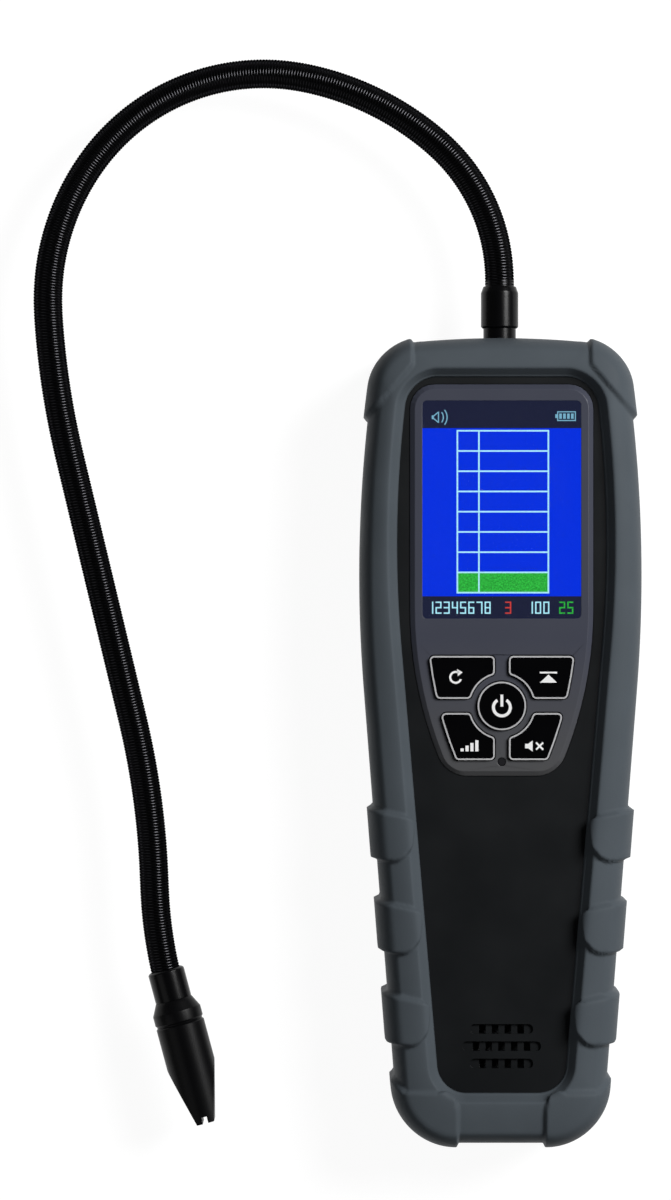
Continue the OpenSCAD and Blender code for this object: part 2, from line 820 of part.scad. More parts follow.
module rear_case() {
    color(case_black)
        difference() {
            union() {
                rear_shell();
                rear_tongue();
                for (p = case_screws_at)
                    translate([p[0], p[1], back_lip_t])
                        cylinder(h = split_z - back_lip_t, r = boss_r + slip_fit);
                battery_box();
                for (p = door_screws_at)
                    translate([p[0], p[1], door_t])
                        cylinder(h = door_boss_h + back_t - door_t, r = boss_r);
                for (y = [motor_low_y + saddle_t, motor_top_y - 2 * saddle_t])
                    translate([-saddle_w / 2, y, back_t - over])
                        cube([saddle_w, saddle_t, neck_z - motor_d / 4 - back_t + over]);
            }
            rear_case_cuts();
        }
}

module rear_shell() {
    difference() {
        union() {
            translate([0, 0, back_lip_t + close_fit])
                linear_extrude(split_z - back_lip_t - close_fit)
                    polygon(outline(boot_line, -case_in));
            linear_extrude(back_t)
                polygon(outline(boot_line, -field_in));
        }
        translate([0, 0, back_t])
            linear_extrude(split_z)
                polygon(outline(boot_line, -room_in));
    }
}

// Tongue inside the joint of the halves, left open where the probe comes in
module rear_tongue() {
    root = 2 * tongue_h;
    difference() {
        translate([0, 0, split_z - root])
            linear_extrude(tongue_h + root)
                difference() {
                    polygon(outline(boot_line, -room_in - slip_fit));
                    polygon(outline(boot_line, -room_in - slip_fit - box_wall));
                }
        translate([-flange_d, room_top - flange_d, split_z - root - over])
            cube([2 * flange_d, 2 * flange_d, tongue_h + root + 2 * over]);
        for (p = case_screws_at)
            translate([p[0], p[1], split_z])
                cylinder(h = tongue_h + over, r = boss_r + slip_fit);
    }
    translate([0, 0, split_z - root])
        linear_extrude(root - tongue_h / 2)
            difference() {
                polygon(outline(boot_line, -room_in + over));
                polygon(outline(boot_line, -room_in - slip_fit - box_wall));
                translate([-flange_d, room_top - flange_d])
                    square(2 * flange_d);
            }
}

module battery_box() {
    translate([-cells_half - box_wall, box_low_y - box_wall, back_t - over])
        cube([2 * (cells_half + box_wall), box_top_y - box_low_y + 2 * box_wall,
              box_z + box_wall - back_t + over]);
}

// Seat of the battery door
module door_seat() {
    translate([-door_half - door_fit, door_low_y - door_fit, -over])
        cube([2 * (door_half + door_fit), door_top_y - door_low_y + 2 * door_fit, door_t + over]);
}

module rear_case_cuts() {
    // Inside of the battery box, open to the back
    translate([-cells_half, box_low_y, -over])
        cube([2 * cells_half, box_top_y - box_low_y, box_z + over]);
    door_seat();
    for (p = door_screws_at)
        translate([p[0], p[1], 0])
            cylinder(h = door_screw_len, r = screw_hole_r);
    for (p = case_screws_at) {
        translate([p[0], p[1], -over])
            cylinder(h = split_z + 2 * over, r = screw_hole_r);
        translate([p[0], p[1], -over])
            cylinder(h = case_screw_sink + over, r = screw_head_r + slip_fit);
    }
    neck_hole();
    along_y(motor_low_y - over)
        cylinder(h = motor_len + 2 * over, d = motor_d + 2 * slip_fit);
}

module faceplate() {
    color(plate_grey)
        difference() {
            union() {
                translate([0, 0, plate_z])
                    linear_extrude(plate_t / 2)
                        polygon(plate_line(0));
                loft([at_z(plate_line(0), plate_z + plate_t / 2),
                      at_z(plate_line(-plate_bevel), plate_top_z)]);
            }
            translate([0, window_y, plate_z - over]) {
                linear_extrude(plate_t + 2 * over)
                    rounded(window_w, window_h, window_r);
                linear_extrude(window_t + over)
                    rounded(window_w + 2 * (window_lap + slip_fit),
                            window_h + 2 * (window_lap + slip_fit), window_edge_r + slip_fit);
            }
            translate([0, 0, plate_z - over])
                linear_extrude(plate_t + 2 * over)
                    key_plans(key_fit);
            translate([0, lamp_y, plate_z - over])
                cylinder(h = plate_t + 2 * over, d = lamp_d + 2 * slip_fit);
        }
}

module display_window() {
    color("#1c2a6a")
        translate([0, window_y, plate_z])
            linear_extrude(window_t)
                rounded(window_w + 2 * window_lap, window_h + 2 * window_lap, window_edge_r);
}

module display_panel() {
    color("#2038c8")
        translate([0, panel_y, board_top_z + frame_t])
            linear_extrude(board_gap - frame_t - panel_gap)
                square([panel_w, panel_h], center = true);
}

// Folded metal tray that holds the panel on the board
module display_frame() {
    wall = frame_t + slip_fit;
    color(metal)
        translate([0, panel_y, board_top_z])
            difference() {
                linear_extrude(board_gap / 2 + frame_t)
                    square([panel_w + 2 * wall, panel_h + 2 * wall], center = true);
                translate([0, 0, frame_t])
                    linear_extrude(board_gap)
                        square([panel_w + 2 * slip_fit, panel_h + 2 * slip_fit], center = true);
            }
}

// A key cap: flange under the face, shank, and a top with a small step around it
key_edge = 0.35;
module corner_key(side, row) {
    top_z = plate_top_z + key_proud;
    color(key_black) {
        translate([0, 0, key_low_z])
            linear_extrude(key_flange_t)
                corner_key_plan(side, row, key_flange);
        translate([0, 0, key_low_z])
            linear_extrude(top_z - key_edge - key_low_z)
                corner_key_plan(side, row);
        translate([0, 0, key_low_z])
            linear_extrude(top_z - key_low_z)
                corner_key_plan(side, row, -key_edge);
    }
}

module reset_key() {
    corner_key(-1, 1);
}

module peak_key() {
    corner_key(1, 1);
}

module level_key() {
    corner_key(-1, -1);
}

module mute_key() {
    corner_key(1, -1);
}

module power_key() {
    r = power_d / 2;
    top = plate_top_z + key_proud - key_low_z;
    color(key_black)
        translate([0, power_y, key_low_z])
            rotate_extrude()
                polygon([[0, 0], [r + key_flange, 0], [r + key_flange, key_flange_t], [r, key_flange_t],
                         [r, top - key_edge], [r - key_edge, top], [0, top]]);
}

// Rubber mat on the board, with a button under each key
module key_mat() {
    low = plate_low + key_margin - key_flange;
    color("#8d8f94")
        difference() {
            union() {
                translate([0, 0, board_top_z])
                    linear_extrude(mat_t)
                        intersection() {
                            polygon(plate_line(key_flange - key_margin));
                            translate([-plate_w, low])
                                square([2 * plate_w, key_upper_y + key_flange - low]);
                        }
                for (p = concat([for (key = corner_keys) key_middle(key)], [[0, power_y]]))
                    translate([p[0], p[1], board_top_z])
                        cylinder(h = key_low_z - board_top_z, r = mat_button_r);
            }
            translate([0, lamp_y, board_top_z - over])
                cylinder(h = mat_t + 2 * over, d = 2 * lamp_d);
        }
}

// Light pipe from the board to the face
module status_lamp() {
    color("#26262a")
        translate([0, lamp_y, board_top_z])
            rotate_extrude()
                polygon([[0, 0], [lamp_d * 0.8, 0], [lamp_d * 0.8, mat_t], [lamp_d / 2, mat_t],
                         [lamp_d / 2, plate_top_z - board_top_z], [0, plate_top_z - board_top_z]]);
}

module main_board() {
    color("#1d5a36")
        translate([0, 0, board_z])
            linear_extrude(board_t)
                difference() {
                    intersection() {
                        polygon(outline(boot_line, -room_in - board_edge));
                        translate([-body_w, board_low_y])
                            square([2 * body_w, body_len]);
                    }
                    for (p = case_screws_at)
                        translate(p)
                            circle(boss_r + slip_fit);
                    for (p = board_screws_at)
                        translate(p)
                            circle(screw_hole_r);
                }
}

// A screw with its head down and its shank up, from the underside of what it holds
module screw(length) {
    translate([0, 0, -screw_head_h])
        cylinder(h = screw_head_h, r = screw_head_r);
    cylinder(h = length, r = screw_r);
}

module board_screws() {
    color(metal)
        for (p = board_screws_at)
            translate([p[0], p[1], board_z])
                screw(board_t + board_screw_len - slip_fit);
}

module case_screws() {
    color(metal)
        for (p = case_screws_at)
            translate([p[0], p[1], case_screw_sink])
                screw(case_screw_len);
}

module door_screws() {
    color(metal)
        for (p = door_screws_at)
            translate([p[0], p[1], screw_head_h])
                screw(door_screw_len - screw_head_h - slip_fit);
}

cone_edge = 3;
module speaker() {
    r = speaker_d / 2;
    cone_r = r - cone_edge;
    magnet_r = r / 2;
    color("#2a2a2c")
        translate([0, slot_y, deck_z - gasket_t - speaker_t])
            rotate_extrude()
                polygon([[0, 0], [magnet_r, 0], [magnet_r, speaker_t / 3], [r, speaker_t / 2],
                         [r, speaker_t], [cone_r, speaker_t], [cone_r / 3, speaker_t * 0.6],
                         [0, speaker_t * 0.7]]);
}

module speaker_gasket() {
    color("#101010")
        translate([0, slot_y, deck_z - gasket_t])
            difference() {
                cylinder(h = gasket_t, d = speaker_d);
                translate([0, 0, -over])
                    cylinder(h = gasket_t + 2 * over, d = speaker_d - 2 * cone_edge);
            }
}

function cell_x(i) = (i - (cell_count - 1) / 2) * cell_pitch;

// Cells with a raised positive end
module battery_cells() {
    r = cell_d / 2;
    nub_h = 1.2;
    nub_r = r * 0.37;
    edge = 0.6;
    color("#3a5f94")
        for (i = [0:cell_count - 1])
            translate([cell_x(i), cell_y - cell_len / 2, cell_z])
                rotate([-90, 0, 0])
                    rotate_extrude()
                        polygon([[0, 0], [r - edge, 0], [r, edge], [r, cell_len - nub_h - edge],
                                 [r - edge, cell_len - nub_h], [nub_r, cell_len - nub_h],
                                 [nub_r, cell_len], [0, cell_len]]);
}

// Bowed leaf springs on one plate, against the flat ends of the cells
module battery_springs() {
    leaf_w = cell_d / 2;
    reach = contact_room - slip_fit;
    bow = cell_d / 3;
    color(metal) {
        translate([-cells_half, box_low_y, cell_z - bow])
            cube([2 * cells_half, contact_t, 2 * bow]);
        for (i = [0:cell_count - 1])
            translate([cell_x(i) - leaf_w / 2, box_low_y, cell_z])
                rotate([90, 0, 90])
                    linear_extrude(leaf_w)
                        polygon([[0, -bow], [contact_t, -bow], [reach, 0], [contact_t, bow], [0, bow],
                                 [0, bow - contact_t], [reach - 2 * contact_t, 0],
                                 [0, contact_t - bow]]);
    }
}

// Flat plate with a boss for each raised end
module battery_plates() {
    boss = cell_d / 5;
    color(metal) {
        translate([-cells_half, box_top_y - contact_t, cell_z - cell_d / 3])
            cube([2 * cells_half, contact_t, 2 * cell_d / 3]);
        for (i = [0:cell_count - 1])
            translate([cell_x(i), cell_y + cell_len / 2 + slip_fit, cell_z])
                rotate([-90, 0, 0])
                    cylinder(h = contact_room - slip_fit, r = boss);
    }
}

// Door with thumb ribs, flush with the back
module battery_door() {
    ribs = 5;
    rib_gap = 3;
    color(case_black)
        difference() {
            translate([-door_half, door_low_y, 0])
                cube([2 * door_half, door_top_y - door_low_y, door_t]);
            for (p = door_screws_at) {
                translate([p[0], p[1], -over])
                    cylinder(h = door_t + 2 * over, r = screw_hole_r);
                translate([p[0], p[1], -over])
                    cylinder(h = screw_head_h + over, r = screw_head_r + slip_fit);
            }
            for (i = [0:ribs - 1])
                translate([-door_half / 3, door_top_y - door_tab - i * rib_gap, -over])
                    cube([2 * door_half / 3, rib_gap / 2, door_t / 3 + over]);
        }
}

module pump_motor() {
    shaft_r = 1;
    color(metal)
        along_y(motor_low_y) {
            difference() {
                cylinder(h = motor_len, d = motor_d);
                translate([0, 0, -over])
                    cylinder(h = over + saddle_t / 2, d = motor_d / 2);
            }
            cylinder(h = saddle_t / 2, r = shaft_r);
        }
}

// Diaphragm head with its intake nipple on the probe's axis
module pump_head() {
    color("#2c2f33")
        difference() {
            union() {
                translate([-pump_w / 2, motor_top_y, neck_z - pump_h / 2])
                    cube([pump_w, pump_len, pump_h]);
                along_y(pump_top_y - over)
                    cylinder(h = tube_grip + over, d = nipple_d);
            }
            along_y(pump_top_y - pump_len / 2)
                cylinder(h = pump_len, d = air_bore);
        }
}

module intake_tube() {
    color("#c9ccd0")
        along_y(pump_top_y)
            difference() {
                cylinder(h = tube_len, d = tube_d);
                translate([0, 0, -over])
                    cylinder(h = tube_len + 2 * over, d = tube_bore);
            }
}

// Turned fitting: nipple and thread inside, flange under the boot, stub and foot outside
module neck_socket() {
    flange_y = wall_out_y - thread_low_y;
    top = stub_top_y - thread_low_y;
    color("#2b2b2d")
        along_y(thread_low_y)
            rotate_extrude()
                polygon([[air_bore / 2, -tube_grip], [nipple_d / 2, -tube_grip], [nipple_d / 2, 0],
                         [thread_d / 2, 0], [thread_d / 2, flange_y], [flange_d / 2, flange_y],
                         [flange_d / 2, flange_y + flange_t], [stub_d / 2, flange_y + flange_t],
                         [stub_d / 2, top], [foot_d / 2, top], [foot_d / 2, top + foot_len],
                         [air_bore / 2, top + foot_len]]);
}

module neck_nut() {
    color(metal)
        along_y(nut_y)
            difference() {
                cylinder(h = nut_t, d = nut_flats / cos(30), $fn = 6);
                translate([0, 0, -over])
                    cylinder(h = nut_t + 2 * over, d = thread_d + 2 * close_fit);
            }
}

module neck_washer() {
    color("#1a1a1a")
        along_y(washer_y)
            difference() {
                cylinder(h = washer_t, d = nut_flats);
                translate([0, 0, -over])
                    cylinder(h = washer_t + 2 * over, d = thread_d + 2 * close_fit);
            }
}

// Black sleeve over the joint of stub and neck: it sits on the end of the stub and tapers to the neck
module neck_sleeve() {
    r = sleeve_d / 2;
    low_r = stub_d / 2 + close_fit;
    top_r = foot_d / 2 + close_fit;
    lip = 0.4;
    shoulder = stub_len - sleeve_gap + close_fit;
    color(case_black)
        along_y(body_y + end_crown + sleeve_gap)
            rotate_extrude()
                polygon([[low_r, 0], [r - lip, 0], [r, lip], [r, sleeve_len - sleeve_taper],
                         [top_r + lip, sleeve_len], [top_r, sleeve_len], [top_r, shoulder],
                         [low_r, shoulder]]);
}

// One straight or arc of the neck, from a position and heading
module neck_leg(at, leg) {
    turn = abs(leg[1]);
    side = sign(leg[1]);
    translate([at[0], at[1], neck_z])
        rotate([0, 0, at[2]])
            if (turn == 0) {
                rotate([0, 90, 0])
                    cylinder(h = leg[0], d = neck_d);
            } else {
                r = leg[0] / (turn * PI / 180);
                translate([0, side * r, 0])
                    rotate([0, 0, side > 0 ? -90 : 90 - turn])
                        rotate_extrude(angle = turn, $fn = 360)
                            translate([r, 0])
                                circle(d = neck_d, $fn = 48);
            }
}

// Ball whose poles lie along the neck
module neck_ball(at, d) {
    translate([at[0], at[1], neck_z])
        rotate([0, 0, at[2]])
            rotate([0, 90, 0])
                sphere(d = d);
}

// A link of the neck: a socket at its start and a ball at its end
module gooseneck(i) {
    color("#1d1d1f")
        difference() {
            union() {
                neck_leg(link_start(i), neck_course[i]);
                if (i < len(neck_course) - 1)
                    neck_ball(link_start(i + 1), ball_d);
            }
            if (i > 0)
                neck_ball(link_start(i), ball_d + 2 * ball_fit);
        }
}

module at_tip(along) {
    translate([tip_start[0], tip_start[1], neck_z])
        rotate([0, 0, tip_start[2]])
            rotate([0, 90, 0])
                translate([0, 0, along])
                    children();
}

ring_at = collar_len - collar_grip;
cap_at = ring_at + ring_len;
cap_room_r = tip_d / 2 - cap_wall;

// Collar on the end of the neck
module tip_collar() {
    r = collar_d / 2;
    lip = 0.5;
    bore_r = neck_d / 2 + close_fit;
    color(case_black)
        at_tip(-collar_grip)
            rotate_extrude()
                polygon([[bore_r, 0], [r - lip, 0], [r, lip], [r, collar_len], [air_bore / 2, collar_len],
                         [air_bore / 2, collar_grip], [bore_r, collar_grip]]);
}

// Flared ring between collar and cap
module tip_ring() {
    r = tip_d / 2;
    groove = 0.35;
    color("#232325")
        at_tip(ring_at)
            rotate_extrude()
                polygon([[air_bore / 2, 0], [collar_d / 2, 0], [r - groove, flare_len * 0.8],
                         [r, flare_len], [r, ring_len - 2 * groove], [r - groove, ring_len - groove],
                         [r - groove, ring_len], [air_bore / 2, ring_len]]);
}

// Cap with a flat slope on either side down to a thin end, and a slot through that end
module tip_cap() {
    whole = cap_len + slope_len;
    r = tip_d / 2;
    edge = 0.4;
    color("#1f1f21")
        at_tip(cap_at)
            rotate(90)
                difference() {
                    intersection() {
                        rotate_extrude()
                            polygon([[0, 0], [r - edge, 0], [r, edge], [r, whole], [0, whole]]);
                        rotate([90, 0, 0])
                            translate([0, 0, -tip_d])
                                linear_extrude(2 * tip_d)
                                    rotate(90)
                                        polygon([[0, -tip_d], [cap_len, -tip_d], [cap_len, -r],
                                                 [whole, -cap_end / 2], [whole, cap_end / 2], [cap_len, r],
                                                 [cap_len, tip_d], [0, tip_d]]);
                    }
                    translate([0, 0, -over])
                        cylinder(h = cap_len + over, r = cap_room_r);
                    translate([0, 0, cap_len - over])
                        cylinder(h = slope_len + 2 * over, d = cap_slot_w);
                    translate([-cap_slot_w / 2, -tip_d, whole - cap_slot_h])
                        cube([cap_slot_w, 2 * tip_d, cap_slot_h + over]);
                }
}

// Sensor can on its three pins, standing on the ring
module tip_sensor() {
    base = 1;
    pin_r = 0.4;
    pins = 3;
    color(metal)
        at_tip(cap_at) {
            translate([0, 0, base])
                cylinder(h = sensor_len - base, d = sensor_d);
            for (i = [0:pins - 1])
                rotate(i * 360 / pins)
                    translate([sensor_d / 3, 0, 0])
                        cylinder(h = 2 * base, r = pin_r);
        }
}

module tip_filter() {
    color("#d8d4c8")
        at_tip(cap_at + cap_len - filter_t)
            cylinder(h = filter_t, r = cap_room_r - slip_fit);
}

rubber_boot();
front_case();
rear_case();
faceplate();
display_window();
display_panel();
display_frame();
reset_key();
peak_key();
power_key();
level_key();
mute_key();
key_mat();
status_lamp();
main_board();
board_screws();
speaker();
speaker_gasket();
battery_cells();
battery_springs();
battery_plates();
battery_door();
door_screws();
case_screws();
pump_motor();
pump_head();
intake_tube();
neck_socket();
neck_nut();
neck_washer();
neck_sleeve();
gooseneck(0);  // gooseneck_1
gooseneck(1);  // gooseneck_2
gooseneck(2);  // gooseneck_3
gooseneck(3);  // gooseneck_4
gooseneck(4);  // gooseneck_5
gooseneck(5);  // gooseneck_6
gooseneck(6);  // gooseneck_7
gooseneck(7);  // gooseneck_8
tip_collar();
tip_ring();
tip_cap();
tip_sensor();
tip_filter();
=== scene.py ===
"""Looks of a handheld refrigerant leak detector, built around its packed CAD frame.

Every size is in millimetres here and in metres in Blender. The frame lies on its back: +Z comes out
of the display and +Y points to the end that carries the probe.
"""

import math

import bmesh
import bpy
import numpy as np
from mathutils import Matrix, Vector


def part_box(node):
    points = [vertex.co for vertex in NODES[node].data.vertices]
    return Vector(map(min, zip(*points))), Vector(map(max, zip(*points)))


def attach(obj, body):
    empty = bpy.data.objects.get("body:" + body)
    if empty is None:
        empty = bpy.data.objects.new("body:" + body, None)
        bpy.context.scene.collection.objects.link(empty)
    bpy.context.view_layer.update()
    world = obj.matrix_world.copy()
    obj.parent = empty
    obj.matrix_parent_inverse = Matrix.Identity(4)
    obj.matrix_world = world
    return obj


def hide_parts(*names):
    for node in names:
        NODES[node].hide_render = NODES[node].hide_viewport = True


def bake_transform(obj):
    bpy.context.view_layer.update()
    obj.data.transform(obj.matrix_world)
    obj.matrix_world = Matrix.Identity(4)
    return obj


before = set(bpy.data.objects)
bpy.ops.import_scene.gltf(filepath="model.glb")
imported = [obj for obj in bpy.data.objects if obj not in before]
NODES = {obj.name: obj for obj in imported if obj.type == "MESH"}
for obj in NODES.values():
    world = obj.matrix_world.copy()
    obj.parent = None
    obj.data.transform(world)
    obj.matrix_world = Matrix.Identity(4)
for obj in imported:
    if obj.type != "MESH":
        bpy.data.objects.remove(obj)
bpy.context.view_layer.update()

bl_info = {
    "name": "Refrigerant leak detector",
    "version": (1, 0, 0),
    "blender": (4, 5, 0),
    "location": "View3D > Sidebar > Leak detector",
    "description": "Rubber boot, plastic case, lit display and ribbed neck of the packed leak detector",
    "category": "Object",
}

MM = 0.001
MAIN_BODY = "detector"
WELD_DISTANCE = 0.002 * MM

# Levels of the frame, from its own boxes
FACE_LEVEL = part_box("front_case")[1].z / MM
PANEL_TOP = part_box("display_panel")[1].z / MM

KEY_BODIES = {
    "reset_key": "reset_button",
    "peak_key": "peak_button",
    "power_key": "power_button",
    "level_key": "level_button",
    "mute_key": "mute_button",
}


# Settings that a user would change

def colour_setting(name, description, default):
    return bpy.props.FloatVectorProperty(
        name=name, description=description, subtype="COLOR", default=default, min=0, max=1)


def length_setting(name, description, default, low, high):
    """Setting for a length, with its default and limits in millimetres."""
    return bpy.props.FloatProperty(
        name=name, description=description, unit="LENGTH", default=default * MM, min=low * MM, max=high * MM)


def power_setting(name, description, default):
    return bpy.props.FloatProperty(
        name=name, description=description, subtype="POWER", default=default, min=0, max=200)


class BootSettings(bpy.types.PropertyGroup):
    """Rubber boot"""
    colour: colour_setting("Rubber", "Colour of the rubber", (0.072, 0.085, 0.097))
    bumper_height: length_setting("Bumper height", "How far the corner bumpers stand out", 1.2, 0, 2)
    grip_height: length_setting("Grip height", "How far the side grips stand out", 1.7, 0, 2.5)
    pad_edge: length_setting("Pad edge", "Width of the slope around a bumper or grip", 0.75, 0.2, 3)


class CaseSettings(bpy.types.PropertyGroup):
    """Case, faceplate and keys"""
    case_colour: colour_setting("Case", "Colour of the black case", (0.006, 0.007, 0.008))
    plate_colour: colour_setting("Faceplate", "Colour of the grey faceplate at the keys",
                                 (0.074, 0.075, 0.078))
    # Beside the display the faceplate is painted darker and bluer: a painted glow of the display.
    plate_display_glow: colour_setting("Faceplate, cool", "Colour of the grey faceplate beside the display",
                               (0.050, 0.054, 0.075))
    key_colour: colour_setting("Keys", "Colour of the keys", (0.0012, 0.0012, 0.0016))
    line_colour: colour_setting("Key lines", "Colour of the lines around the keys", (0.45, 0.45, 0.46))
    line_width: length_setting("Line width", "Width of the lines around the keys", 0.42, 0.1, 1)


class DisplaySettings(bpy.types.PropertyGroup):
    """Lit display"""
    field: colour_setting("Field", "Colour of the lit field", (0.003, 0.032, 0.74))
    bars: colour_setting("Bars", "Colour of the dark bars above and below the field", (0.014, 0.017, 0.042))
    lines: colour_setting("Lines", "Colour of the chart's lines and the digits", (0.42, 0.84, 0.95))
    icons: colour_setting("Icons", "Colour of the loudspeaker and the battery in the upper bar",
                          (0.19, 0.44, 0.58))
    level: colour_setting("Level", "Colour of the chart's filled cell and of the last number",
                          (0.03, 0.44, 0.05))
    alarm: colour_setting("Alarm", "Colour of the alarm digit", (0.62, 0.05, 0.04))
    cells: bpy.props.IntProperty(
        name="Cells", description="Number of cells in the chart", default=8, min=2, max=12)
    brightness: bpy.props.FloatProperty(
        name="Brightness", description="Strength of the display's light", default=1.0, min=0, max=4)


class NeckSettings(bpy.types.PropertyGroup):
    """Bendable neck"""
    # This colour is also the painted shade in the neck's grooves, which get it in place of the lacquer.
    colour: colour_setting("Sleeve and tip", "Colour of the sleeve, the tip and the neck's grooves",
                           (0.0022, 0.0022, 0.0026))
    lacquer: colour_setting("Lacquer", "Colour of the ribbed neck's gloss", (0.022, 0.022, 0.024))
    pitch: length_setting("Pitch", "Distance from one turn of the neck to the next", 0.77, 0.4, 3)
    crest: length_setting("Crest", "Radius of the neck on its turns", 3.95, 3, 5)
    groove: length_setting("Groove", "Depth of the groove between two turns", 0.3, 0, 1)


class StageSettings(bpy.types.PropertyGroup):
    """Camera, lamps and floor"""
    camera_height: length_setting("Camera height", "Height of the camera above the floor", 1418, 300, 5000)
    view_length: length_setting("View length", "Length of the picture's long side at the neck's height",
                                324, 100, 2000)
    world_light: bpy.props.FloatProperty(
        name="Room light", description="Strength of the light from the room's walls",
        default=0.12, min=0, max=2)
    key_power: power_setting("Key lamp", "Power of the large lamp on the right", 15.5)
    fill_power: power_setting("Fill lamp", "Power of the weak lamp on the left", 1.2)


# Finishes

def new_finish(name):
    material = bpy.data.materials.new(name)
    material.use_nodes = True
    return material, material.node_tree, material.node_tree.nodes["Principled BSDF"]


def coordinates(tree):
    return tree.nodes.new("ShaderNodeTexCoord").outputs["Object"]


def noise(tree, where, scale, detail=2.0, roughness=0.5):
    node = tree.nodes.new("ShaderNodeTexNoise")
    node.inputs["Scale"].default_value = scale
    node.inputs["Detail"].default_value = detail
    node.inputs["Roughness"].default_value = roughness
    tree.links.new(where, node.inputs["Vector"])
    return node.outputs["Fac"]


def two_tone(tree, factor, dark, light):
    mix = tree.nodes.new("ShaderNodeMix")
    mix.data_type = "RGBA"
    mix.inputs[6].default_value = (*dark, 1)
    mix.inputs[7].default_value = (*light, 1)
    tree.links.new(factor, mix.inputs[0])
    return mix.outputs[2]


def spread(tree, value, low, high, from_low=0.3, from_high=0.7):
    node = tree.nodes.new("ShaderNodeMapRange")
    node.inputs["From Min"].default_value = from_low
    node.inputs["From Max"].default_value = from_high
    node.inputs["To Min"].default_value = low
    node.inputs["To Max"].default_value = high
    tree.links.new(value, node.inputs["Value"])
    return node.outputs["Result"]


def bump(tree, shader, height, distance, strength=1.0):
    node = tree.nodes.new("ShaderNodeBump")
    node.inputs["Strength"].default_value = strength
    node.inputs["Distance"].default_value = distance
    tree.links.new(height, node.inputs["Height"])
    tree.links.new(node.outputs["Normal"], shader.inputs["Normal"])


def colour_socket(tree, socket, factor, colour, change):
    """Feeds a socket with a colour that is darker and lighter by some share."""
    colour = Vector(colour)
    tone = two_tone(tree, spread(tree, factor, 0, 1), colour * (1 - change), colour * (1 + change))
    tree.links.new(tone, socket)


def uneven_gloss(tree, shader, factor, smooth, rough):
    tree.links.new(spread(tree, factor, smooth, rough), shader.inputs["Roughness"])


def moulded(name, colour, roughness, grain=2600, depth=0.02, mottle=0.12, sheen=0.0, specular=0.5, coat=0.0):
    """Moulded plastic or rubber: fine pitted grain, a little cloudiness in colour and gloss."""
    cloud_scale, pit_strength = 60, 0.6
    material, tree, shader = new_finish(name)
    where = coordinates(tree)
    cloud = noise(tree, where, cloud_scale, detail=3)
    colour_socket(tree, shader.inputs["Base Color"], cloud, colour, mottle)
    uneven_gloss(tree, shader, cloud, roughness * 0.92, roughness * 1.08)
    pits = noise(tree, where, grain, roughness=0.6)
    bump(tree, shader, pits, depth * MM, pit_strength)
    shader.inputs["Sheen Weight"].default_value = sheen
    shader.inputs["Specular IOR Level"].default_value = specular
    shader.inputs["Coat Weight"].default_value = coat
    return material


def metal(name, colour, roughness, stretch=(1, 1, 30), grain=900):
    """Drawn or turned metal with fine lines along one axis."""
    dark_share, line_depth, line_strength = 0.85, 0.01, 0.4
    material, tree, shader = new_finish(name)
    mapping = tree.nodes.new("ShaderNodeMapping")
    mapping.inputs["Scale"].default_value = stretch
    tree.links.new(coordinates(tree), mapping.inputs["Vector"])
    lines = noise(tree, mapping.outputs["Vector"], grain, detail=3)
    colour = Vector(colour)
    tree.links.new(two_tone(tree, lines, colour * dark_share, colour), shader.inputs["Base Color"])
    uneven_gloss(tree, shader, lines, roughness * 0.8, roughness * 1.25)
    bump(tree, shader, lines, line_depth * MM, line_strength)
    shader.inputs["Metallic"].default_value = 1.0
    return material


def lacquered(name, colour, roughness, edge=0.08, grain=1500, mottle=0.2):
    """Lacquer on metal that stays dark to its edges, with small changes of gloss."""
    material, tree, shader = new_finish(name)
    cloud = noise(tree, coordinates(tree), grain)
    colour_socket(tree, shader.inputs["Base Color"], cloud, colour, mottle)
    uneven_gloss(tree, shader, cloud, roughness * 0.85, roughness * 1.15)
    shader.inputs["Metallic"].default_value = 1.0
    shader.inputs["Specular Tint"].default_value = (edge, edge, edge, 1)
    return material


def lit(name, colour, strength, grain=2400, uneven=0.07):
    """One colour of the lit display, with the faint unevenness of its dots."""
    material, tree, shader = new_finish(name)
    dots = noise(tree, coordinates(tree), grain, detail=1)
    colour_socket(tree, shader.inputs["Emission Color"], dots, colour, uneven)
    shader.inputs["Emission Strength"].default_value = strength
    shader.inputs["Base Color"].default_value = (0.002, 0.002, 0.002, 1)
    shader.inputs["Roughness"].default_value = 0.6
    shader.inputs["Specular IOR Level"].default_value = 0.0
    return material


def clear(name, colour, roughness, smear_scale=45):
    """Clear sheet with faint smears in its gloss."""
    material, tree, shader = new_finish(name)
    smear = noise(tree, coordinates(tree), smear_scale)
    uneven_gloss(tree, shader, smear, roughness * 0.6, roughness * 1.6)
    shader.inputs["Base Color"].default_value = (*colour, 1)
    shader.inputs["Transmission Weight"].default_value = 1.0
    shader.inputs["IOR"].default_value = 1.15
    return material


# Meshes

def new_piece(name, points, faces, material, smooth=True):
    """Mesh object from points in millimetres."""
    mesh = bpy.data.meshes.new(name)
    mesh.from_pydata([tuple(p) for p in np.asarray(points, float) * MM], [], faces)
    if smooth:
        mesh.shade_smooth()
    for m in material if isinstance(material, (list, tuple)) else [material]:
        mesh.materials.append(m)
    mesh.validate()
    piece = bpy.data.objects.new(name, mesh)
    bpy.context.scene.collection.objects.link(piece)
    return piece


def ring_faces(rows, count, closed_rows, start=0):
    """Quads between rows of points that each run once round; closed_rows joins the last to the first."""
    faces = []
    for j in range(rows if closed_rows else rows - 1):
        low, high = start + j * count, start + ((j + 1) % rows) * count
        for i in range(count):
            k = (i + 1) % count
            faces.append((low + i, low + k, high + k, high + i))
    return faces


def at_level(flat, z):
    return np.column_stack([flat, np.full(len(flat), z)])


def points_along(where, along, line):
    """Points of a flat line at some lengths along it."""
    return np.column_stack([np.interp(where, along, line[:, k]) for k in (0, 1)])


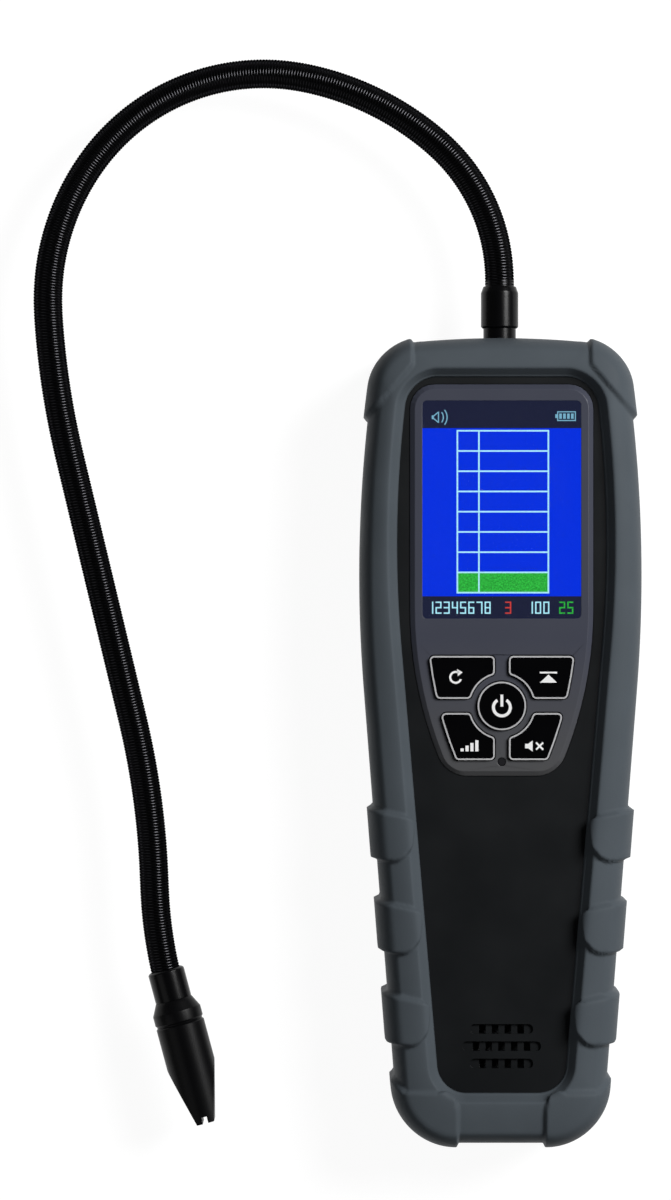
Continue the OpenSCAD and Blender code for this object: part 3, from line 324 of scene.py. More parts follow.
class Plan:
    """Polygons of one mark, each a thin plate with its own material and height."""

    def __init__(self):
        self.points, self.faces, self.slots = [], [], []

    def add(self, outline, low, high, slot=0):
        n, start = len(outline), len(self.points)
        self.points += [(x, y, low) for x, y in outline] + [(x, y, high) for x, y in outline]
        self.faces.append(tuple(range(start + n - 1, start - 1, -1)))
        self.faces.append(tuple(range(start + n, start + 2 * n)))
        self.faces += ring_faces(2, n, False, start)
        self.slots += [slot] * (n + 2)

    def piece(self, name, materials, body, record_slot):
        made = new_piece(name, self.points, self.faces, materials, smooth=False)
        for polygon, slot in zip(made.data.polygons, self.slots):
            polygon.material_index = slot
        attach(made, body)


def bar(x0, y0, x1, y1):
    return [(x0, y0), (x1, y0), (x1, y1), (x0, y1)]


def arc_points(x, y, r, start, end, steps):
    return [(x + r * math.cos(math.radians(a)), y + r * math.sin(math.radians(a)))
            for a in np.linspace(start, end, steps + 1)]


def band(x, y, r, width, start, end, steps=40):
    """Ring segment of a given width around radius r."""
    outer = arc_points(x, y, r + width / 2, start, end, steps)
    return outer + arc_points(x, y, r - width / 2, end, start, steps)


def stroke(x0, y0, x1, y1, width):
    """Straight line of a given width."""
    along = Vector((x1 - x0, y1 - y0)).normalized()
    side = Vector((-along.y, along.x)) * width / 2
    return [(x0 - side.x, y0 - side.y), (x1 - side.x, y1 - side.y), (x1 + side.x, y1 + side.y),
            (x0 + side.x, y0 + side.y)]


def soften(node, width, angle=35):
    """Small round on the sharp edges of a CAD node."""
    piece = NODES[node]
    weld = piece.modifiers.new("Weld", "WELD")
    weld.merge_threshold = WELD_DISTANCE
    edge = piece.modifiers.new("Edges", "BEVEL")
    edge.width = width * MM
    edge.segments = 2
    edge.limit_method = "ANGLE"
    edge.angle_limit = math.radians(angle)
    edge.use_clamp_overlap = True
    normals = piece.modifiers.new("Normals", "WEIGHTED_NORMAL")
    normals.keep_sharp = True


def dress(node, material, edge=0.0):
    """Gives a CAD node its material and, where it shows, soft edges."""
    piece = NODES[node]
    piece.data.materials.clear()
    piece.data.materials.append(material)
    if edge:
        soften(node, edge)


def welded(node):
    """Edit mesh of a CAD node with its doubled points joined."""
    mesh = bmesh.new()
    mesh.from_mesh(NODES[node].data)
    bmesh.ops.remove_doubles(mesh, verts=mesh.verts, dist=WELD_DISTANCE)
    return mesh


# Plan of the body, as in the part's source

def corner_pull(depth, radius):
    """How far a round corner draws in, at some depth from the body's end."""
    drawn = radius - np.sqrt(np.maximum(0, radius ** 2 - (radius - depth) ** 2))
    return np.where(depth < radius, drawn, 0)


class Outline:
    """Rounded outline from above, by its half width, where it is widest, the radius and lean of its flanks,
    its lower and upper end, the radii of its corners and the rise of its crown."""

    least_r = 0.5

    def __init__(self, half, widest, arc, lean, low, top, low_r, top_r, crown):
        self.half, self.widest, self.arc, self.lean = half, widest, arc, math.radians(lean)
        self.low, self.top, self.low_r, self.top_r, self.crown = low, top, low_r, top_r, crown

    def flank(self, y):
        join = self.widest - self.arc * math.sin(self.lean)
        straight = self.half - self.arc * (1 - math.cos(self.lean)) - (join - y) * math.tan(self.lean)
        round_part = self.half - self.arc + np.sqrt(np.maximum(0, self.arc ** 2 - (y - self.widest) ** 2))
        return np.where(y < join, straight, round_part)

    def ring(self, grow=0.0, corner_steps=44, flank_steps=330, crown_steps=110, floor_steps=80):
        """Points once round, counterclockwise, from the lower right corner, moved outward by grow."""
        low, top = self.low - grow, self.top + grow
        low_r, top_r = (max(self.least_r, r + grow) for r in (self.low_r, self.top_r))
        turn = np.radians(np.linspace(0, 90, corner_steps + 1))
        ys = np.concatenate([
            low + low_r * (1 - np.cos(turn)),
            np.linspace(low + low_r, top - top_r, flank_steps + 2)[1:-1],
            (top - top_r * (1 - np.cos(turn)))[::-1]])
        xs = self.flank(ys) + grow - corner_pull(ys - low, low_r) - corner_pull(top - ys, top_r)
        t = 1 - 2 * np.arange(1, crown_steps) / crown_steps
        crown = np.column_stack([xs[-1] * t, ys[-1] + self.crown * (1 - t * t)])
        t = 1 - 2 * np.arange(1, floor_steps) / floor_steps
        floor = np.column_stack([-xs[0] * t, np.full(len(t), ys[0])])
        right = np.column_stack([xs, ys])
        left = np.column_stack([-xs, ys])[::-1]
        return np.vstack([right, crown, left, floor])


BODY_END = 107.5
BODY_THICK = 38.0
BODY_LINE = Outline(half=37.85, widest=44.8, arc=390, lean=4.46, low=-BODY_END, top=BODY_END,
                    low_r=15, top_r=12, crown=0.9)
OPENING_LINE = Outline(half=27.85, widest=53.0, arc=320, lean=4.86, low=-93.3, top=97.5,
                       low_r=7, top_r=7.5, crown=0)
BOOT_WALL = 3.3
BACK_LIP = 5.5
BACK_LIP_THICK = 1.8
BACK_LIP_EDGE = 0.25
BACK_ROUND = 3.0
RIM_WIDE = 4.5
RIM_HIGH = 12.0
RIM_DROP = 0.9
RIM_END = 78.0
EDGE_OUT = 2.9
EDGE_ROUND = 0.9
EDGE_TURN = 58.0
BEVEL_FOOT = 0.5
BEVEL_FOOT_RISE = 0.15
FACE_GAP = 0.05
CREST_CURVE = 1.6
PAD_START = 6.0
PAD_FAR = 12.0

# Heights of the rows on the flank, close together where the pads begin
FLANK_LEVELS = (3.7, 4.4, 4.9, 5.2, 5.45, 5.7, 5.95, 6.25, 6.8, 8, 10, 13, 16, 19, 22)
BACK_ROWS, RIM_ROWS, CREST_ROWS, EDGE_ROWS, BEVEL_ROWS = 9, 22, 12, 7, 7


def hull_edges(circles, directions=768):
    """Normals and distances of the edges of the convex hull of some circles (x, y, r)."""
    angles = np.linspace(0, 2 * np.pi, directions, endpoint=False)
    normals = np.column_stack([np.cos(angles), np.sin(angles)])
    reach = np.max([normals @ np.array(c[:2]) + c[2] for c in circles], axis=0)
    return normals, reach


def hull_distance(points, circles, blocks=40):
    """Distance of points from the hull of some circles, negative inside; blocks keep the memory small."""
    normals, reach = hull_edges(circles)
    parts = np.array_split(points, blocks)
    return np.concatenate([(part @ normals.T - reach).max(axis=1) for part in parts])


def top_bumper():
    """Circles of the bumper on the upper right corner."""
    x = float(BODY_LINE.flank(np.array(BODY_END)))
    r, inset, foot, bend_out, bend_down, end_down = 2, 7.2, 6, 2, 17, 27
    return [(x - inset, BODY_END - foot, r), (x - inset, BODY_END + PAD_FAR, r),
            (x + bend_out, BODY_END - bend_down, r), (x + PAD_FAR, BODY_END - end_down, r)]


def low_bumpers():
    """Circles of the bumper on the lower right corner and of its start on the flank."""
    x = float(BODY_LINE.flank(np.array(-BODY_END)))
    r, inset, foot = 5, 10.6, 9.6
    flank_r, flank_in, flank_foot, flank_length = 1.6, 1.2, 13.0, 13
    end = flank_foot - BODY_END
    corner = [(x - inset, foot - BODY_END, r), (x - inset, -PAD_FAR - BODY_END, r),
              (x + PAD_FAR, end, flank_r)]
    flank = [(x - flank_in, end, flank_r), (x + PAD_FAR, end, flank_r),
             (x + PAD_FAR, end + flank_length, flank_r)]
    return [corner, flank]


def side_grips():
    """Circles of the three grips on the right flank."""
    first, pitch, length, width = -24.3, 24.6, 14.4, 10.1
    stop, slant, top_r, low_r = 1.9, 2, 2.6, 4.5
    grips = []
    for i in range(3):
        y = first - i * pitch
        inner = float(OPENING_LINE.flank(np.array(y))) + stop
        outer = inner + width + PAD_FAR
        grips.append([(inner + top_r, y + length / 2 - slant - top_r, top_r),
                      (inner + low_r, y - length / 2 + low_r, low_r),
                      (outer, y + length / 2 - top_r + slant, top_r),
                      (outer, y - length / 2 + low_r + slant, low_r)])
    return grips


def boot_pads(bumper, grip):
    """Circles whose hulls are the bumpers and grips of the right side, each with its height."""
    bumpers = [(circles, bumper) for circles in (top_bumper(), *low_bumpers())]
    return bumpers + [(circles, grip) for circles in side_grips()]


def smooth_step(value, low, high):
    t = np.clip((value - low) / (high - low), 0, 1)
    return t * t * (3 - 2 * t)


def boot_rows():
    """Rings of the boot, from its inner wall round the back, the flank, the crest and into the opening."""
    rows = []

    def add(flat, z):
        rows.append(at_level(flat, z))

    add(BODY_LINE.ring(-BOOT_WALL), BACK_LIP_THICK)
    add(BODY_LINE.ring(-BACK_LIP), BACK_LIP_THICK)
    add(BODY_LINE.ring(-BACK_LIP), BACK_LIP_EDGE)
    add(BODY_LINE.ring(BACK_LIP_EDGE - BACK_LIP), 0)
    add(BODY_LINE.ring(-0.5 * (BACK_LIP + BACK_ROUND)), 0)
    for a in np.radians(np.linspace(0, 90, BACK_ROWS)):
        add(BODY_LINE.ring(-BACK_ROUND * (1 - math.sin(a))), BACK_ROUND * (1 - math.cos(a)))
    for z in FLANK_LEVELS:
        add(BODY_LINE.ring(), z)
    rim_low = BODY_THICK - RIM_DROP - RIM_HIGH
    for a in np.radians(np.linspace(0, RIM_END, RIM_ROWS)):
        add(BODY_LINE.ring(-RIM_WIDE * (1 - math.cos(a))), rim_low + RIM_HIGH * math.sin(a))
    outer, crest_low = rows[-1][:, :2], rows[-1][0, 2]
    inner = OPENING_LINE.ring(EDGE_OUT)
    for t in np.linspace(0, 1, CREST_ROWS)[1:]:
        rise = 1 - (1 - t) ** CREST_CURVE
        add(outer + (inner - outer) * t, crest_low + (BODY_THICK - crest_low) * rise)
    for a in np.radians(np.linspace(0, EDGE_TURN, EDGE_ROWS))[1:]:
        bevel_out = EDGE_OUT - EDGE_ROUND * math.sin(a)
        bevel_z = BODY_THICK - EDGE_ROUND * (1 - math.cos(a))
        add(OPENING_LINE.ring(bevel_out), bevel_z)
    for t in np.linspace(0, 1, BEVEL_ROWS)[1:]:
        out = bevel_out + (BEVEL_FOOT - bevel_out) * t
        add(OPENING_LINE.ring(out), bevel_z + (FACE_LEVEL + BEVEL_FOOT_RISE - bevel_z) * t)
    add(OPENING_LINE.ring(), FACE_LEVEL + FACE_GAP)
    add(BODY_LINE.ring(-BOOT_WALL), FACE_LEVEL + FACE_GAP)
    return np.array(rows)


def grid_normals(rows):
    """Outward normals of rings of points that close on themselves both ways."""
    round_it = np.roll(rows, -1, axis=1) - np.roll(rows, 1, axis=1)
    across = np.roll(rows, -1, axis=0) - np.roll(rows, 1, axis=0)
    normal = np.cross(round_it, across)
    tiny = 1e-9
    return normal / np.maximum(np.linalg.norm(normal, axis=2, keepdims=True), tiny)


class LEAK_OT_boot(bpy.types.Operator):
    """Rubber boot with its bumpers and grips, moulded in one piece"""
    bl_idname = "leak_detector.boot"
    bl_label = "Rubber boot"

    # Shares of a pad's slope outside and inside its outline, and how far above its start a pad is full
    slope_out, slope_in = 0.45, 0.55
    start_height = 0.1

    def execute(self, context):
        settings = context.scene.leak_boot
        rows = boot_rows()
        normals = grid_normals(rows)
        flat = rows.reshape(-1, 3)
        mirrored = np.column_stack([np.abs(flat[:, 0]), flat[:, 1]])
        edge = settings.pad_edge / MM
        raised = np.zeros(len(flat))
        for circles, height in boot_pads(settings.bumper_height / MM, settings.grip_height / MM):
            distance = hull_distance(mirrored, circles)
            slope = smooth_step(-distance, -edge * self.slope_out, edge * self.slope_in)
            raised = np.maximum(raised, height * slope)
        raised *= smooth_step(flat[:, 2], PAD_START - edge, PAD_START + self.start_height)
        raised = raised.reshape(rows.shape[:2])
        hidden_rows = [0, 1, 2, 3, -2, -1]
        raised[hidden_rows] = 0
        rows = rows + normals * raised[..., None]
        rubber = moulded("boot rubber", settings.colour, roughness=0.48, grain=1900, depth=0.03,
                         mottle=0.05, specular=0.03)
        boot = new_piece("boot", rows.reshape(-1, 3), ring_faces(len(rows), rows.shape[1], True), rubber)
        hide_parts("rubber_boot")
        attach(boot, MAIN_BODY)
        return {"FINISHED"}


def faceplate_painted_light(keys_tone, display_glow_tone):
    """Satin grey of the faceplate that turns darker and bluer from the keys to the display: painted light,
    for the display's glow and the fall of the lamp's sheen.
    """
    material = moulded("faceplate plastic", keys_tone, roughness=0.34, grain=3600, depth=0.008,
                       mottle=0.03, specular=0.3)
    tree = material.node_tree
    shader = tree.nodes["Principled BSDF"]
    place = tree.nodes.new("ShaderNodeSeparateXYZ")
    tree.links.new(coordinates(tree), place.inputs[0])
    # Painted light: the plate's grey at the keys fades into the painted glow and sheen near the display.
    keys_y, display_y = -8 * MM, 28 * MM
    change = spread(tree, place.outputs["Y"], 0, 1, keys_y, display_y)
    tree.links.new(two_tone(tree, change, keys_tone, display_glow_tone), shader.inputs["Base Color"])
    return material


class LEAK_OT_case(bpy.types.Operator):
    """Black case, its battery door and the grey faceplate"""
    bl_idname = "leak_detector.case"
    bl_label = "Case and faceplate"

    def execute(self, context):
        settings = context.scene.leak_case
        black = moulded("case plastic", settings.case_colour, roughness=0.4, grain=3200, depth=0.02,
                        mottle=0.08, specular=0.22)
        # The faceplate's tones carry painted light, for the display's glow and the lamp's sheen.
        plate = faceplate_painted_light(settings.plate_colour, settings.plate_display_glow)
        dress("front_case", black, edge=0.12)
        dress("rear_case", black)
        dress("battery_door", black)
        dress("faceplate", plate, edge=0.1)
        return {"FINISHED"}


def loose_solids(node):
    """Points of each separate solid of a CAD node in millimetres, from the lowest y up."""
    mesh = welded(node)
    left, solids = set(mesh.verts), []
    while left:
        waiting, found = [left.pop()], []
        while waiting:
            vert = waiting.pop()
            found.append(vert.co / MM)
            near = {edge.other_vert(vert) for edge in vert.link_edges} & left
            left -= near
            waiting += near
        solids.append(np.array(found))
    mesh.free()
    return sorted(solids, key=lambda points: tuple(points[:, 1::-1].mean(axis=0).round(2)))


class LEAK_OT_screws(bpy.types.Operator):
    """Screws of the back, each with a cross in its head"""
    bl_idname = "leak_detector.screws"
    bl_label = "Screws"

    steps = 48
    edge = 0.2
    cross_reach, cross_arm, cross_depth = 1.25, 0.35, 0.8
    level_slack, head_share = 0.01, 0.9

    def execute(self, context):
        steel = metal("screw steel", (0.55, 0.55, 0.56), roughness=0.3, grain=4500)
        for node in ("door_screws", "case_screws"):
            points, faces = [], []
            for solid in loose_solids(node):
                self.add_screw(points, faces, solid)
            screws = new_piece(node + "_crossed", points, faces, steel, smooth=False)
            mesh = bmesh.new()
            mesh.from_mesh(screws.data)
            bmesh.ops.recalc_face_normals(mesh, faces=mesh.faces)
            mesh.to_mesh(screws.data)
            mesh.free()
            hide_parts(node)
            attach(screws, MAIN_BODY)
        return {"FINISHED"}

    def add_screw(self, points, faces, solid):
        """Adds one screw whose head looks down, with the sizes of its solid."""
        lowest, highest = solid.min(axis=0), solid.max(axis=0)
        x, y = (lowest[:2] + highest[:2]) / 2
        face, tip = lowest[2], highest[2]
        out = np.hypot(solid[:, 0] - x, solid[:, 1] - y)
        head = out.max()
        shank = out[solid[:, 2] > tip - self.level_slack].max()
        under = solid[out > self.head_share * head, 2].max()
        profile = ((head - self.edge, face), (head, face + self.edge), (head, under),
                   (shank, under), (shank, tip))
        start = len(points)
        for r, z in profile:
            points += [(u, v, z) for u, v in arc_points(x, y, r, 45, 405, self.steps)[:-1]]
        faces += ring_faces(len(profile), self.steps, False, start)
        faces.append(tuple(range(len(points) - self.steps, len(points))))
        self.add_cross(points, faces, x, y, face, start)

    def add_cross(self, points, faces, x, y, face, rim):
        """Closes a head with a sunk cross, made of cells between four lines each way, out to its rim."""
        lines = (-self.cross_reach, -self.cross_arm, self.cross_arm, self.cross_reach)
        top = len(points)
        points += [(x + u, y + v, face) for v in lines for u in lines]
        low = len(points)
        points += [(x + u, y + v, face + self.cross_depth) for v in lines for u in lines]

        def in_cross(i, j):
            return (i == 1 or j == 1) and 0 <= i < 3 and 0 <= j < 3

        for i in range(3):
            for j in range(3):
                corners = (4 * j + i, 4 * j + i + 1, 4 * j + i + 5, 4 * j + i + 4)
                level = low if in_cross(i, j) else top
                faces.append(tuple(level + corner for corner in corners))
                for side, (right, up) in enumerate(((0, -1), (1, 0), (0, 1), (-1, 0))):
                    if in_cross(i, j) and not in_cross(i + right, j + up):
                        a, b = corners[side], corners[(side + 1) % 4]
                        faces.append((top + a, top + b, low + b, low + a))
        quarter = self.steps // 4
        for q, side in enumerate(((12, 13, 14, 15), (0, 4, 8, 12), (3, 2, 1, 0), (15, 11, 7, 3))):
            arc = [rim + k % self.steps for k in range(q * quarter, (q + 1) * quarter + 1)]
            faces.append(tuple(arc + [top + k for k in side]))


def top_loop(node):
    """Outline of the flat top of a CAD node, in millimetres and counterclockwise."""
    mesh = welded(node)
    top = max(v.co.z for v in mesh.verts)
    slack = 0.01 * MM
    flat = {f for f in mesh.faces if all(top - v.co.z < slack for v in f.verts)}
    step = {}
    for f in flat:
        for loop in f.loops:
            if not any(g in flat for g in loop.edge.link_faces if g is not f):
                step[loop.vert.index] = loop.link_loop_next.vert.index
    mesh.verts.ensure_lookup_table()
    start = at = min(step)
    points = []
    while True:
        points.append(mesh.verts[at].co.xy / MM)
        at = step[at]
        if at == start:
            break
    mesh.free()
    return np.array(points)


def even_loop(points, spacing=0.15, least=24):
    """The same closed line with evenly spaced points."""
    closed = np.vstack([points, points[:1]])
    along = np.concatenate([[0], np.cumsum(np.linalg.norm(np.diff(closed, axis=0), axis=1))])
    count = max(least, int(along[-1] / spacing))
    where = np.linspace(0, along[-1], count, endpoint=False)
    return points_along(where, along, closed)


def moved_out(points, distance):
    """A closed counterclockwise line moved outward."""
    along = np.roll(points, -1, axis=0) - np.roll(points, 1, axis=0)
    along /= np.linalg.norm(along, axis=1, keepdims=True)
    return points + distance * np.column_stack([along[:, 1], -along[:, 0]])


def loop_band(loop, inner, outer, low, high):
    """Points and faces of a raised line that follows a closed loop."""
    rows = []
    for offset, z in ((inner, low), (inner, high), (outer, high), (outer, low)):
        rows.append(at_level(moved_out(loop, offset), z))
    return np.vstack(rows), ring_faces(len(rows), len(loop), True)


def reset_mark(plan, x, y, low, high):
    """Arrow that runs round to its start."""
    r, line, start, end = 1.45, 0.55, 60, 340
    plan.add(band(x, y, r, line, start, end), low, high)
    tip_x, tip_y = arc_points(x, y, r, start, start, 1)[0]
    corners = ((-0.35, 0.95), (-0.15, -0.95), (1.15, 0.1))
    plan.add([(tip_x + u, tip_y + v) for u, v in corners], low, high)


def peak_mark(plan, x, y, low, high):
    """Peak below a line."""
    half, foot, peak, line_low, line_high = 2.3, 1.4, 0.75, 1.05, 1.5
    plan.add([(x - half, y - foot), (x + half, y - foot), (x, y + peak)], low, high)
    plan.add(bar(x - half, y + line_low, x + half, y + line_high), low, high)


def level_mark(plan, x, y, low, high):
    """Rising bars."""
    first, pitch, width, foot, top, rise = -2.4, 1.3, 0.85, 1.4, -0.6, 0.72
    for i in range(4):
        left = x + first + pitch * i
        plan.add(bar(left, y - foot, left + width, y + top + rise * i), low, high)


def mute_mark(plan, x, y, low, high):
    """Loudspeaker and a cross."""
    back, neck, mouth, neck_half, mouth_half = x - 2.5, x - 1.7, x - 0.5, 0.6, 1.5
    plan.add([(back, y - neck_half), (neck, y - neck_half), (mouth, y - mouth_half),
              (mouth, y + mouth_half), (neck, y + neck_half), (back, y + neck_half)], low, high)
    left, right, half, line, proud = x + 0.4, x + 2.3, 0.95, 0.5, 0.01
    plan.add(stroke(left, y - half, right, y + half, line), low, high)
    plan.add(stroke(left, y + half, right, y - half, line), low, high + proud)


def power_mark(plan, x, y, low, high):
    """Open ring with a bar in its gap."""
    r, line, start, end, steps = 2.25, 0.8, 122, 418, 64
    plan.add(band(x, y, r, line, start, end, steps), low, high)
    half, foot, top = 0.38, 0.2, 3.4
    plan.add(bar(x - half, y + foot, x + half, y + top), low, high)


KEY_MARKS = {
    "reset_key": (reset_mark, -12.3, 17.5),
    "peak_key": (peak_mark, 12.4, 17.5),
    "power_key": (power_mark, 0.0, 9.5),
    "level_key": (level_mark, -8.6, -0.8),
    "mute_key": (mute_mark, 8.7, -0.8),
}


class LEAK_OT_keys(bpy.types.Operator):
    """Keys with the lines around them, the marks on them and the status lamp"""
    bl_idname = "leak_detector.keys"
    bl_label = "Keys"

    line_out = 0.36
    line_sink = 0.3
    mark_height = 0.05

    def execute(self, context):
        settings = context.scene.leak_case
        black = moulded("key plastic", settings.key_colour, roughness=0.3, grain=3000, depth=0.01,
                        mottle=0.1, specular=0.05)
        # Pale line round the top edge of each key.
        pale = moulded("key outline", settings.line_colour, roughness=0.45, grain=4000, depth=0.004,
                       mottle=0.05)
        white = moulded("key mark paint", (0.86, 0.86, 0.86), roughness=0.5, grain=4000, depth=0.004,
                        mottle=0.02)
        smoked = moulded("smoked lamp", (0.012, 0.012, 0.014), roughness=0.25, grain=800, depth=0.005,
                         coat=0.5)
        dress("status_lamp", smoked)
        width = settings.line_width / MM
        for node, body in KEY_BODIES.items():
            dress(node, black, edge=0.1)
            loop = even_loop(top_loop(node))
            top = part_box(node)[1].z / MM
            points, faces = loop_band(loop, self.line_out - width, self.line_out, top - self.line_sink,
                                      top + self.mark_height)
            line = new_piece(node + "_line", points, faces, pale, smooth=False)
            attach(line, body)
            mark, x, y = KEY_MARKS[node]
            plan = Plan()
            mark(plan, x, y, top - self.mark_height, top + self.mark_height)
            plan.piece(node + "_mark", white, body, "key_plastic")
        return {"FINISHED"}


SEGMENTS = {
    "a": ((0, 2), (1, 2)), "b": ((1, 1), (1, 2)), "c": ((1, 0), (1, 1)), "d": ((0, 0), (1, 0)),
    "e": ((0, 0), (0, 1)), "f": ((0, 1), (0, 2)), "g": ((0, 1), (1, 1)),
}
DIGITS = {"0": "abcdef", "1": "bc", "2": "abged", "3": "abgcd", "4": "fgbc", "5": "afgcd", "6": "afgedc",
          "7": "abc", "8": "abcdefg", "9": "abcdfg"}
DIGIT_PITCH = 1.75


def draw_digits(plan, digits, x, y, wide, high, width, low, top, slot):
    """Row of plain seven-stroke digits."""
    for digit in digits:
        for name in DIGITS[digit]:
            (u0, v0), (u1, v1) = SEGMENTS[name]
            x0, x1 = x + u0 * wide, x + u1 * wide
            y0, y1 = y + v0 * high / 2, y + v1 * high / 2
            plan.add(bar(x0 - width / 2, y0 - width / 2, x1 + width / 2, y1 + width / 2), low, top, slot)
        x += wide * DIGIT_PITCH


class LEAK_OT_display(bpy.types.Operator):
    """Lit display with its chart, behind the clear window"""
    bl_idname = "leak_detector.display"
    bl_label = "Display"

    picture_half = 21.9
    picture_low, picture_high = 32.4, 92.0
    field_low, field_high = 39.1, 84.0
    chart_left, chart_right, chart_split = -11.75, 12.55, -6.0
    chart_low, chart_high = 40.07, 83.3
    line_width = 0.42
    digits_y, digit_wide, digit_high, digit_line = 34.6, 1.25, 2.9, 0.36
    speaker_at, battery_at = (-17.6, 86.9), (14.9, 85.9)
    layer, gap, step = 0.1, 0.02, 0.01

    def execute(self, context):
        settings = context.scene.leak_display
        colours = ("bars", "field", "lines", "icons", "level", "alarm")
        bars, field, lines, icons, level, alarm = range(len(colours))
        unevenness = {"level": 0.35}
        materials = [lit("display " + name, getattr(settings, name), settings.brightness,
                         uneven=unevenness.get(name, 0.07)) for name in colours]
        base = PANEL_TOP + self.gap
        plan = Plan()
        half = self.picture_half
        plan.add(bar(-half, self.picture_low, half, self.picture_high), base, base + self.layer, bars)
        low, high = base + 2 * self.layer, base + 3 * self.layer
        plan.add(bar(-half, self.field_low, half, self.field_high), base + self.layer, low, field)
        self.draw_chart(plan, settings.cells, low, high, lines, level)
        self.draw_speaker(plan, low, high, icons)
        self.draw_battery(plan, low, high, icons)
        rows = (("12345678", -19.6, lines), ("3", 1.2, alarm), ("100", 7.0, lines), ("25", 15.6, level))
        for digits, x, colour in rows:
            draw_digits(plan, digits, x, self.digits_y, self.digit_wide, self.digit_high, self.digit_line,
                        low, high, colour)
        plan.piece("display_picture", materials, MAIN_BODY, "panel")
        dress("display_window", clear("window sheet", (0.96, 0.97, 1.0), roughness=0.03))
        return {"FINISHED"}

    def draw_chart(self, plan, cells, low, high, lines, level):
        """Column of cells with the lowest one filled."""
        left, right, foot = self.chart_left, self.chart_right, self.chart_low
        cell = (self.chart_high - foot) / cells
        w = self.line_width / 2
        plan.add(bar(left, foot, right, foot + cell), low, high - self.layer / 2, level)
        for i in range(cells + 1):
            y = foot + i * cell
            plan.add(bar(left - w, y - w, right + w, y + w), low, high, lines)
        for x in (left, self.chart_split, right):
            plan.add(bar(x - w, foot, x + w, self.chart_high), low, high - self.step, lines)

    def draw_speaker(self, plan, low, high, slot):
        """Loudspeaker in outline with two waves of sound."""
        x, y = self.speaker_at
        back, neck, mouth, neck_half, mouth_half, line = x - 1.0, x - 0.4, x + 0.8, 0.5, 1.5, 0.3
        plan.add(bar(back, y - neck_half, neck, y + neck_half), low, high, slot)
        for side in (-1, 1):
            plan.add(stroke(neck, y + 0.4 * side, mouth, y + 1.4 * side, line), low, high - self.step, slot)
        plan.add(stroke(mouth, y - mouth_half, mouth, y + mouth_half, line), low, high - 2 * self.step, slot)
        wave_x, wave_half, wave_steps = x - 0.1, 38, 14
        for r in (2.2, 3.2):
            plan.add(band(wave_x, y, r, line, -wave_half, wave_half, wave_steps), low, high, slot)

    def draw_battery(self, plan, low, high, slot):
        """Battery in outline with four bars of charge."""
        x0, y0 = self.battery_at
        x1, y1, w = x0 + 5.0, y0 + 2.6, 0.28
        plan.add(bar(x0, y0, x1, y0 + w), low, high, slot)
        plan.add(bar(x0, y1 - w, x1, y1), low, high, slot)
        plan.add(bar(x0, y0, x0 + w, y1), low, high - self.step, slot)
        plan.add(bar(x1 - w, y0, x1, y1), low, high - self.step, slot)
        pole, pole_in = 0.5, 0.8
        plan.add(bar(x0 - pole, y0 + pole_in, x0, y1 - pole_in), low, high, slot)
        first, pitch, width, inset = 0.55, 1.05, 0.7, 0.6
        for i in range(4):
            left = x0 + first + pitch * i
            plan.add(bar(left, y0 + inset, left + width, y1 - inset), low, high, slot)


# Course of the neck, as in the part's source: a length and a left turn in degrees for each link
NECK_COURSE = ((42, 49), (40, 29.5), (65.5, 66), (43.5, 39), (38.5, 10), (73.4, 0), (45.1, -11.95),
               (27.1, 13.45))
NECK_START_Y = 124.4
NECK_LEAD = 4.0
NECK_HEIGHT = 17.5


def neck_path(step=0.02, ease=9.0):
    """Lengths, points and headings along the neck, with the change from arc to arc eased."""
    ends = np.cumsum([NECK_LEAD] + [length for length, _ in NECK_COURSE])
    s = np.arange(0, ends[-1] + step / 2, step)
    bend = np.zeros(len(s))
    for (length, turn), end in zip(NECK_COURSE, ends[1:]):
        bend[(s >= end - length) & (s < end)] = math.radians(turn) / length
    window = np.ones(int(ease / step))
    padded = np.pad(bend, len(window), mode="edge")
    bend = np.convolve(padded, window / len(window), mode="same")[len(window):-len(window)]

    def summed(rate):
        return np.concatenate([[0], np.cumsum(rate[:-1] * step)])

    heading = math.radians(90) + summed(bend)
    x = summed(np.cos(heading))
    y = NECK_START_Y - NECK_LEAD + summed(np.sin(heading))
    return s, np.column_stack([x, y]), heading, ends


